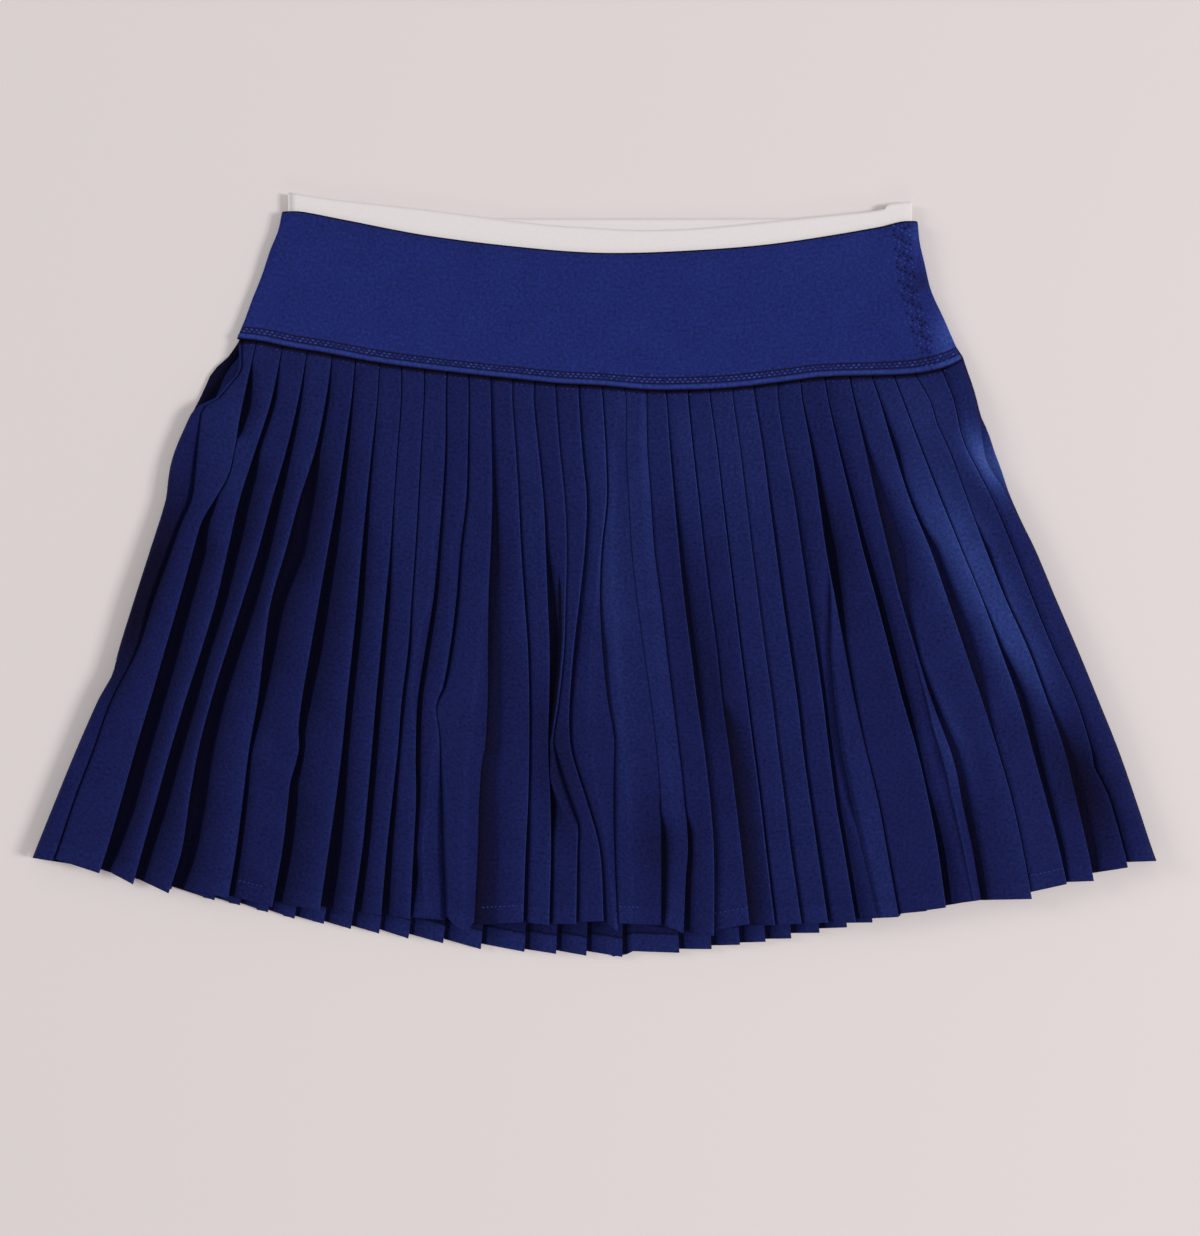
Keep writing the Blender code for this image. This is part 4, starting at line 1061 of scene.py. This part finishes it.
def yoke_stitch_places():
    places = []
    for above, shift, light, start, stop in STITCH_ROWS:
        f = 1 - above / YOKE_HEIGHT
        for i in range(int((stop - start) / STITCH_PITCH)):
            u = start + STITCH_START + (i + shift) * STITCH_PITCH
            x, y, z = yoke_face(u, above)
            if side_x(f, 1) + STITCH_INSET < x < side_x(f, 2) - STITCH_INSET:
                ahead = yoke_face(u + 2, above)
                slope = math.atan2(ahead[1] - y, ahead[0] - x)
                tone = light * stray(i, above) * STITCH_TONE
                places.append((x, y, z + THREAD_LIFT, slope, STITCH_SIZE, tone))
    top, low = SIDE_SEAM[0][0] + SIDE_STITCH_TOP, SIDE_SEAM[-1][0] - SIDE_STITCH_LOW
    for column, shift in enumerate(SIDE_STITCH_COLUMNS):
        for i in range(int((low - top) / SIDE_STITCH_PITCH)):
            v = top + (i + 0.5 * (column % 2)) * SIDE_STITCH_PITCH
            f = (v - SIDE_SEAM[0][0]) / (SIDE_SEAM[-1][0] - SIDE_SEAM[0][0])
            z = curve(YOKE_FRONT_Z, f) + KNIT / 2
            x, y = place(curve(SIDE_SEAM, v) + shift, v, z)
            slant = SIDE_STITCH_SLANT if column % 2 else -SIDE_STITCH_SLANT
            tone = SIDE_STITCH_TONES[(3 * i + 2 * column) % len(SIDE_STITCH_TONES)] * yoke_painted_light_and_seam_ground(x, y)
            places.append((x, y, z + THREAD_LIFT, slant, SIDE_STITCH_SIZE, tone))
    return places


def pleat_stitch_places(shares, rows):
    """Thread at the pleats' very top, just below the yoke, and along the hem where it shows."""
    places = []
    row = rows[next(i for i, f in enumerate(shares) if f > TOP_STITCH_SHARE)]
    count = int((YOKE_SEAM[-1][0] - YOKE_SEAM[0][0]) / STITCH_PITCH)
    for i in range(2, count - 2):
        u = YOKE_SEAM[0][0] + i * STITCH_PITCH
        y, z = surface(row, place(u, seam_line(u), row[0][2])[0])
        x = place(u, seam_line(u), z)[0]
        tone = TOP_STITCH_LIGHT * stray(i, 1) * STITCH_TONE
        places.append((x, y, z + CLOTH / 2, 0.0, TOP_STITCH_SIZE, tone))
    hem_at = [abs((1 - f) * FRONT_LENGTH - HEM_ALLOWANCE) for f in shares]
    row = rows[hem_at.index(min(hem_at))]
    for start, stop in HEM_STITCHES:
        for i in range(int((stop - start) / HEM_STITCH_PITCH) + 1):
            x = place(start + i * HEM_STITCH_PITCH, *HEM_STITCH_AT)[0]
            y, z = surface(row, x)
            slope = math.atan2(surface(row, x + 1)[0] - y, 1.0)
            places.append((x, y, z + CLOTH / 2, slope, HEM_STITCH_SIZE, HEM_STITCH_TONE))
    return places


# ---------------------------------------------------------------- materials
def shader(name):
    material = bpy.data.materials.new(name)
    material.use_nodes = True
    nodes = material.node_tree.nodes
    return material, nodes, material.node_tree.links, nodes["Principled BSDF"]


TONE_MOST = 8.0


def ramp_stops(ramp, shades):
    """A colour for each tone from 0 to TONE_MOST."""
    ramp.elements[0].position, ramp.elements[0].color = 0.0, (*shades[0][1], 1)
    ramp.elements[1].position, ramp.elements[1].color = shades[-1][0] / TONE_MOST, (*shades[-1][1], 1)
    for at, colour in shades[1:-1]:
        stop = ramp.elements.new(at / TONE_MOST)
        stop.color = (*colour, 1)


# Sizes of the cloth's patchiness and of its grain, and how much of the two is grain.
COARSE_NOISE, FINE_NOISE, GRAIN_SHARE = (55.0, 4.0), (620.0, 3.0), 0.8
NOISE_LOW, NOISE_HIGH = 0.38, 0.62


def cloth_material(name, shades, mottled, roughness, weave_mm, weave_depth, sheen, sheen_tint):
    """Woven or knitted cloth: mottled colour, a fine weave in the cloth's own lengths, soft sheen."""
    material, nodes, links, bsdf = shader(name)

    def feed(node, inputs):
        for key, value in inputs.items():
            if isinstance(value, bpy.types.NodeSocket):
                links.new(value, node.inputs[key])
            else:
                node.inputs[key].default_value = value

    def add(kind, inputs, **settings):
        node = nodes.new("ShaderNode" + kind)
        for key, value in settings.items():
            setattr(node, key, value)
        feed(node, inputs)
        return node

    uv = add("UVMap", {}, uv_map="cloth").outputs["UV"]
    mottle, fine = (
        add("TexNoise", {"Vector": uv, "Scale": scale, "Detail": detail}).outputs["Fac"]
        for scale, detail in (COARSE_NOISE, FINE_NOISE)
    )
    both = add("Mix", {"Factor": GRAIN_SHARE, "A": mottle, "B": fine}, data_type="FLOAT").outputs["Result"]
    patchy = add("MapRange", {
        "Value": both, "From Min": NOISE_LOW, "From Max": NOISE_HIGH,
        "To Min": 1 - mottled, "To Max": 1 + mottled,
    }, clamp=False).outputs["Result"]
    # The tone attribute, painted light and painted shade, picks each point's colour from the ramp.
    tone = add("Attribute", {}, attribute_name="tone").outputs["Fac"]
    level = add("MapRange", {"Value": tone, "From Max": TONE_MOST}).outputs["Result"]
    shade = add("ValToRGB", {"Fac": level})
    ramp_stops(shade.color_ramp, shades)
    shaded = add("VectorMath", {0: shade.outputs["Color"], 1: patchy}, operation="MULTIPLY").outputs["Vector"]
    wave = add("TexWave", {
        "Vector": uv, "Scale": 0.05 / (weave_mm * MM), "Distortion": 0.6, "Detail": 1.0,
    }, wave_type="BANDS", bands_direction="X").outputs["Fac"]
    height = add("Mix", {"Factor": 0.5, "A": wave, "B": fine}, data_type="FLOAT").outputs["Result"]
    bump = add("Bump", {"Strength": 0.35, "Distance": weave_depth * MM, "Height": height}).outputs["Normal"]
    feed(bsdf, {
        "Base Color": shaded, "Normal": bump, "Roughness": roughness, "Specular IOR Level": 0.03,
        "Sheen Weight": sheen, "Sheen Roughness": 0.5, "Sheen Tint": (*sheen_tint, 1),
    })
    return material


# Colours of the cloths for tones from dark to light: tone 1 is the cloth's own colour, lower tones its
# painted shade and higher ones its painted highlight and sheen.
SHEEN_BLUE = (0.25, 0.3, 1.0)
WOVEN_SHADES = (
    (0.0, (0.0040, 0.0025, 0.007)), (1.0, (0.0094, 0.0126, 0.077)), (3.0, (0.028, 0.050, 0.220)),
    (8.0, (0.110, 0.170, 0.450)),
)
KNIT_SHADES = ((0.0, (0.009, 0.005, 0.010)), (1.0, (0.015, 0.0236, 0.147)), (3.0, (0.043, 0.080, 0.350)))
WHITE_SHADES = ((0.0, (0.3, 0.28, 0.28)), (1.0, (0.815, 0.768, 0.768)), (3.0, (0.96, 0.92, 0.92)))
woven = cloth_material("pleat_cloth_look", WOVEN_SHADES, mottled=0.22, roughness=0.8, weave_mm=0.45,
                       weave_depth=0.12, sheen=0.03, sheen_tint=SHEEN_BLUE)
knit = cloth_material("yoke_knit_look", KNIT_SHADES, mottled=0.2, roughness=0.85, weave_mm=0.8,
                      weave_depth=0.15, sheen=0.03, sheen_tint=SHEEN_BLUE)
elastic = cloth_material("white_elastic_look", WHITE_SHADES, mottled=0.012, roughness=0.9, weave_mm=0.9,
                         weave_depth=0.06, sheen=0.0, sheen_tint=(1, 1, 1))


# ---------------------------------------------------------------- making the pieces
FRONT_LENGTH, BACK_LENGTH = 281.0, 290.0
FRONT_ROWS, BACK_ROWS, BAND_ROWS = 82, 72, 16
front_shares, front_rows = with_hem(front_row, FRONT_ROWS, FRONT_LENGTH, HEM_ALLOWANCE, FRONT_HEM_TONES)
back_shares, back_rows = with_hem(back_row, BACK_ROWS, BACK_LENGTH, BACK_ALLOWANCE, BACK_HEM_TONES)
skirt_front = sheet("front_panel", front_rows, CLOTH, woven)
skirt_back = sheet("back_panel", back_rows, CLOTH, woven)
yoke_front = sheet("yoke_front_cloth", [yoke_row(f, True) for f in yoke_shares()], KNIT, knit, flip=True)
yoke_back = sheet("yoke_back_cloth", [yoke_row(f, False) for f in yoke_shares()], KNIT, knit, flip=True)
band = sheet("inner_waistband", [band_row(f) for f in np.linspace(0, 1, BAND_ROWS)], ELASTIC, elastic)

yoke_thread = stitches("yoke_stitches", yoke_stitch_places(), knit)
pleat_thread = stitches("pleat_stitches", pleat_stitch_places(front_shares, front_rows), woven)

for piece, node, slot in (
    (skirt_front, "skirt_front", "pleat_cloth"), (skirt_back, "skirt_back", "pleat_cloth"),
    (yoke_front, "yoke_front", "yoke_knit"), (yoke_back, "yoke_back", "yoke_knit"),
    (band, "inner_band", "white_elastic"), (yoke_thread, "yoke_front", "yoke_knit"),
    (pleat_thread, "skirt_front", "pleat_cloth"),
):
    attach(piece, "root")
    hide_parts(node)


# ---------------------------------------------------------------- floor, lights, camera
FLOOR_SIDE, FLOOR_Z = 3.0, -0.0002


def floor():
    mesh = bpy.data.meshes.new("floor")
    s, z = FLOOR_SIDE, FLOOR_Z
    mesh.from_pydata([(-s, -s, z), (s, -s, z), (s, s, z), (-s, s, z)], [], [(0, 1, 2, 3)])
    material, _, _, bsdf = shader("floor_look")
    bsdf.inputs["Base Color"].default_value = (0.80, 0.735, 0.73, 1)
    bsdf.inputs["Roughness"].default_value = 0.9
    bsdf.inputs["Specular IOR Level"].default_value = 0.0
    mesh.materials.append(material)
    add_object("floor", mesh)


# Lights that face the skirt: place in metres, sides and power.
SOFTBOXES = (
    ("right_softbox", (3.6, -0.3, 2.65), (1.0, 1.0), 110.0),
    ("left_softbox", (-3.5, 1.2, 1.7), (1.3, 1.3), 45.0),
    ("front_softbox", (0.2, -1.8, 1.0), (0.9, 0.7), 3.0),
    ("top_softbox", (0.1, 0.2, 2.2), (1.4, 1.4), 6.0),
)
WORLD_COLOUR, WORLD_STRENGTH = (1, 0.985, 0.98, 1), 0.33


def area_light(name, at, size, power):
    light = bpy.data.lights.new(name, "AREA")
    light.shape = "RECTANGLE"
    light.size, light.size_y = size
    light.energy = power
    obj = add_object(name, light)
    obj.location = at
    obj.rotation_euler = (-Vector(at)).to_track_quat("-Z", "Y").to_euler()


floor()
for softbox in SOFTBOXES:
    area_light(*softbox)

world = bpy.data.worlds.new("studio")
world.use_nodes = True
world.node_tree.nodes["Background"].inputs["Color"].default_value = WORLD_COLOUR
world.node_tree.nodes["Background"].inputs["Strength"].default_value = WORLD_STRENGTH
bpy.context.scene.world = world
bpy.context.scene.view_settings.view_transform = "Standard"

# The camera stands where the heights lean away from, and sees this much of the floor, in metres.
DRAWING_SIDE = 0.6427
camera_data = bpy.data.cameras.new("camera")
camera_data.sensor_width = 36.0
camera_data.lens = camera_data.sensor_width * EYE[2] * MM / DRAWING_SIDE
camera = add_object("camera", camera_data)
camera.location = (EYE[0] * MM, EYE[1] * MM, EYE[2] * MM)
bpy.context.scene.camera = camera
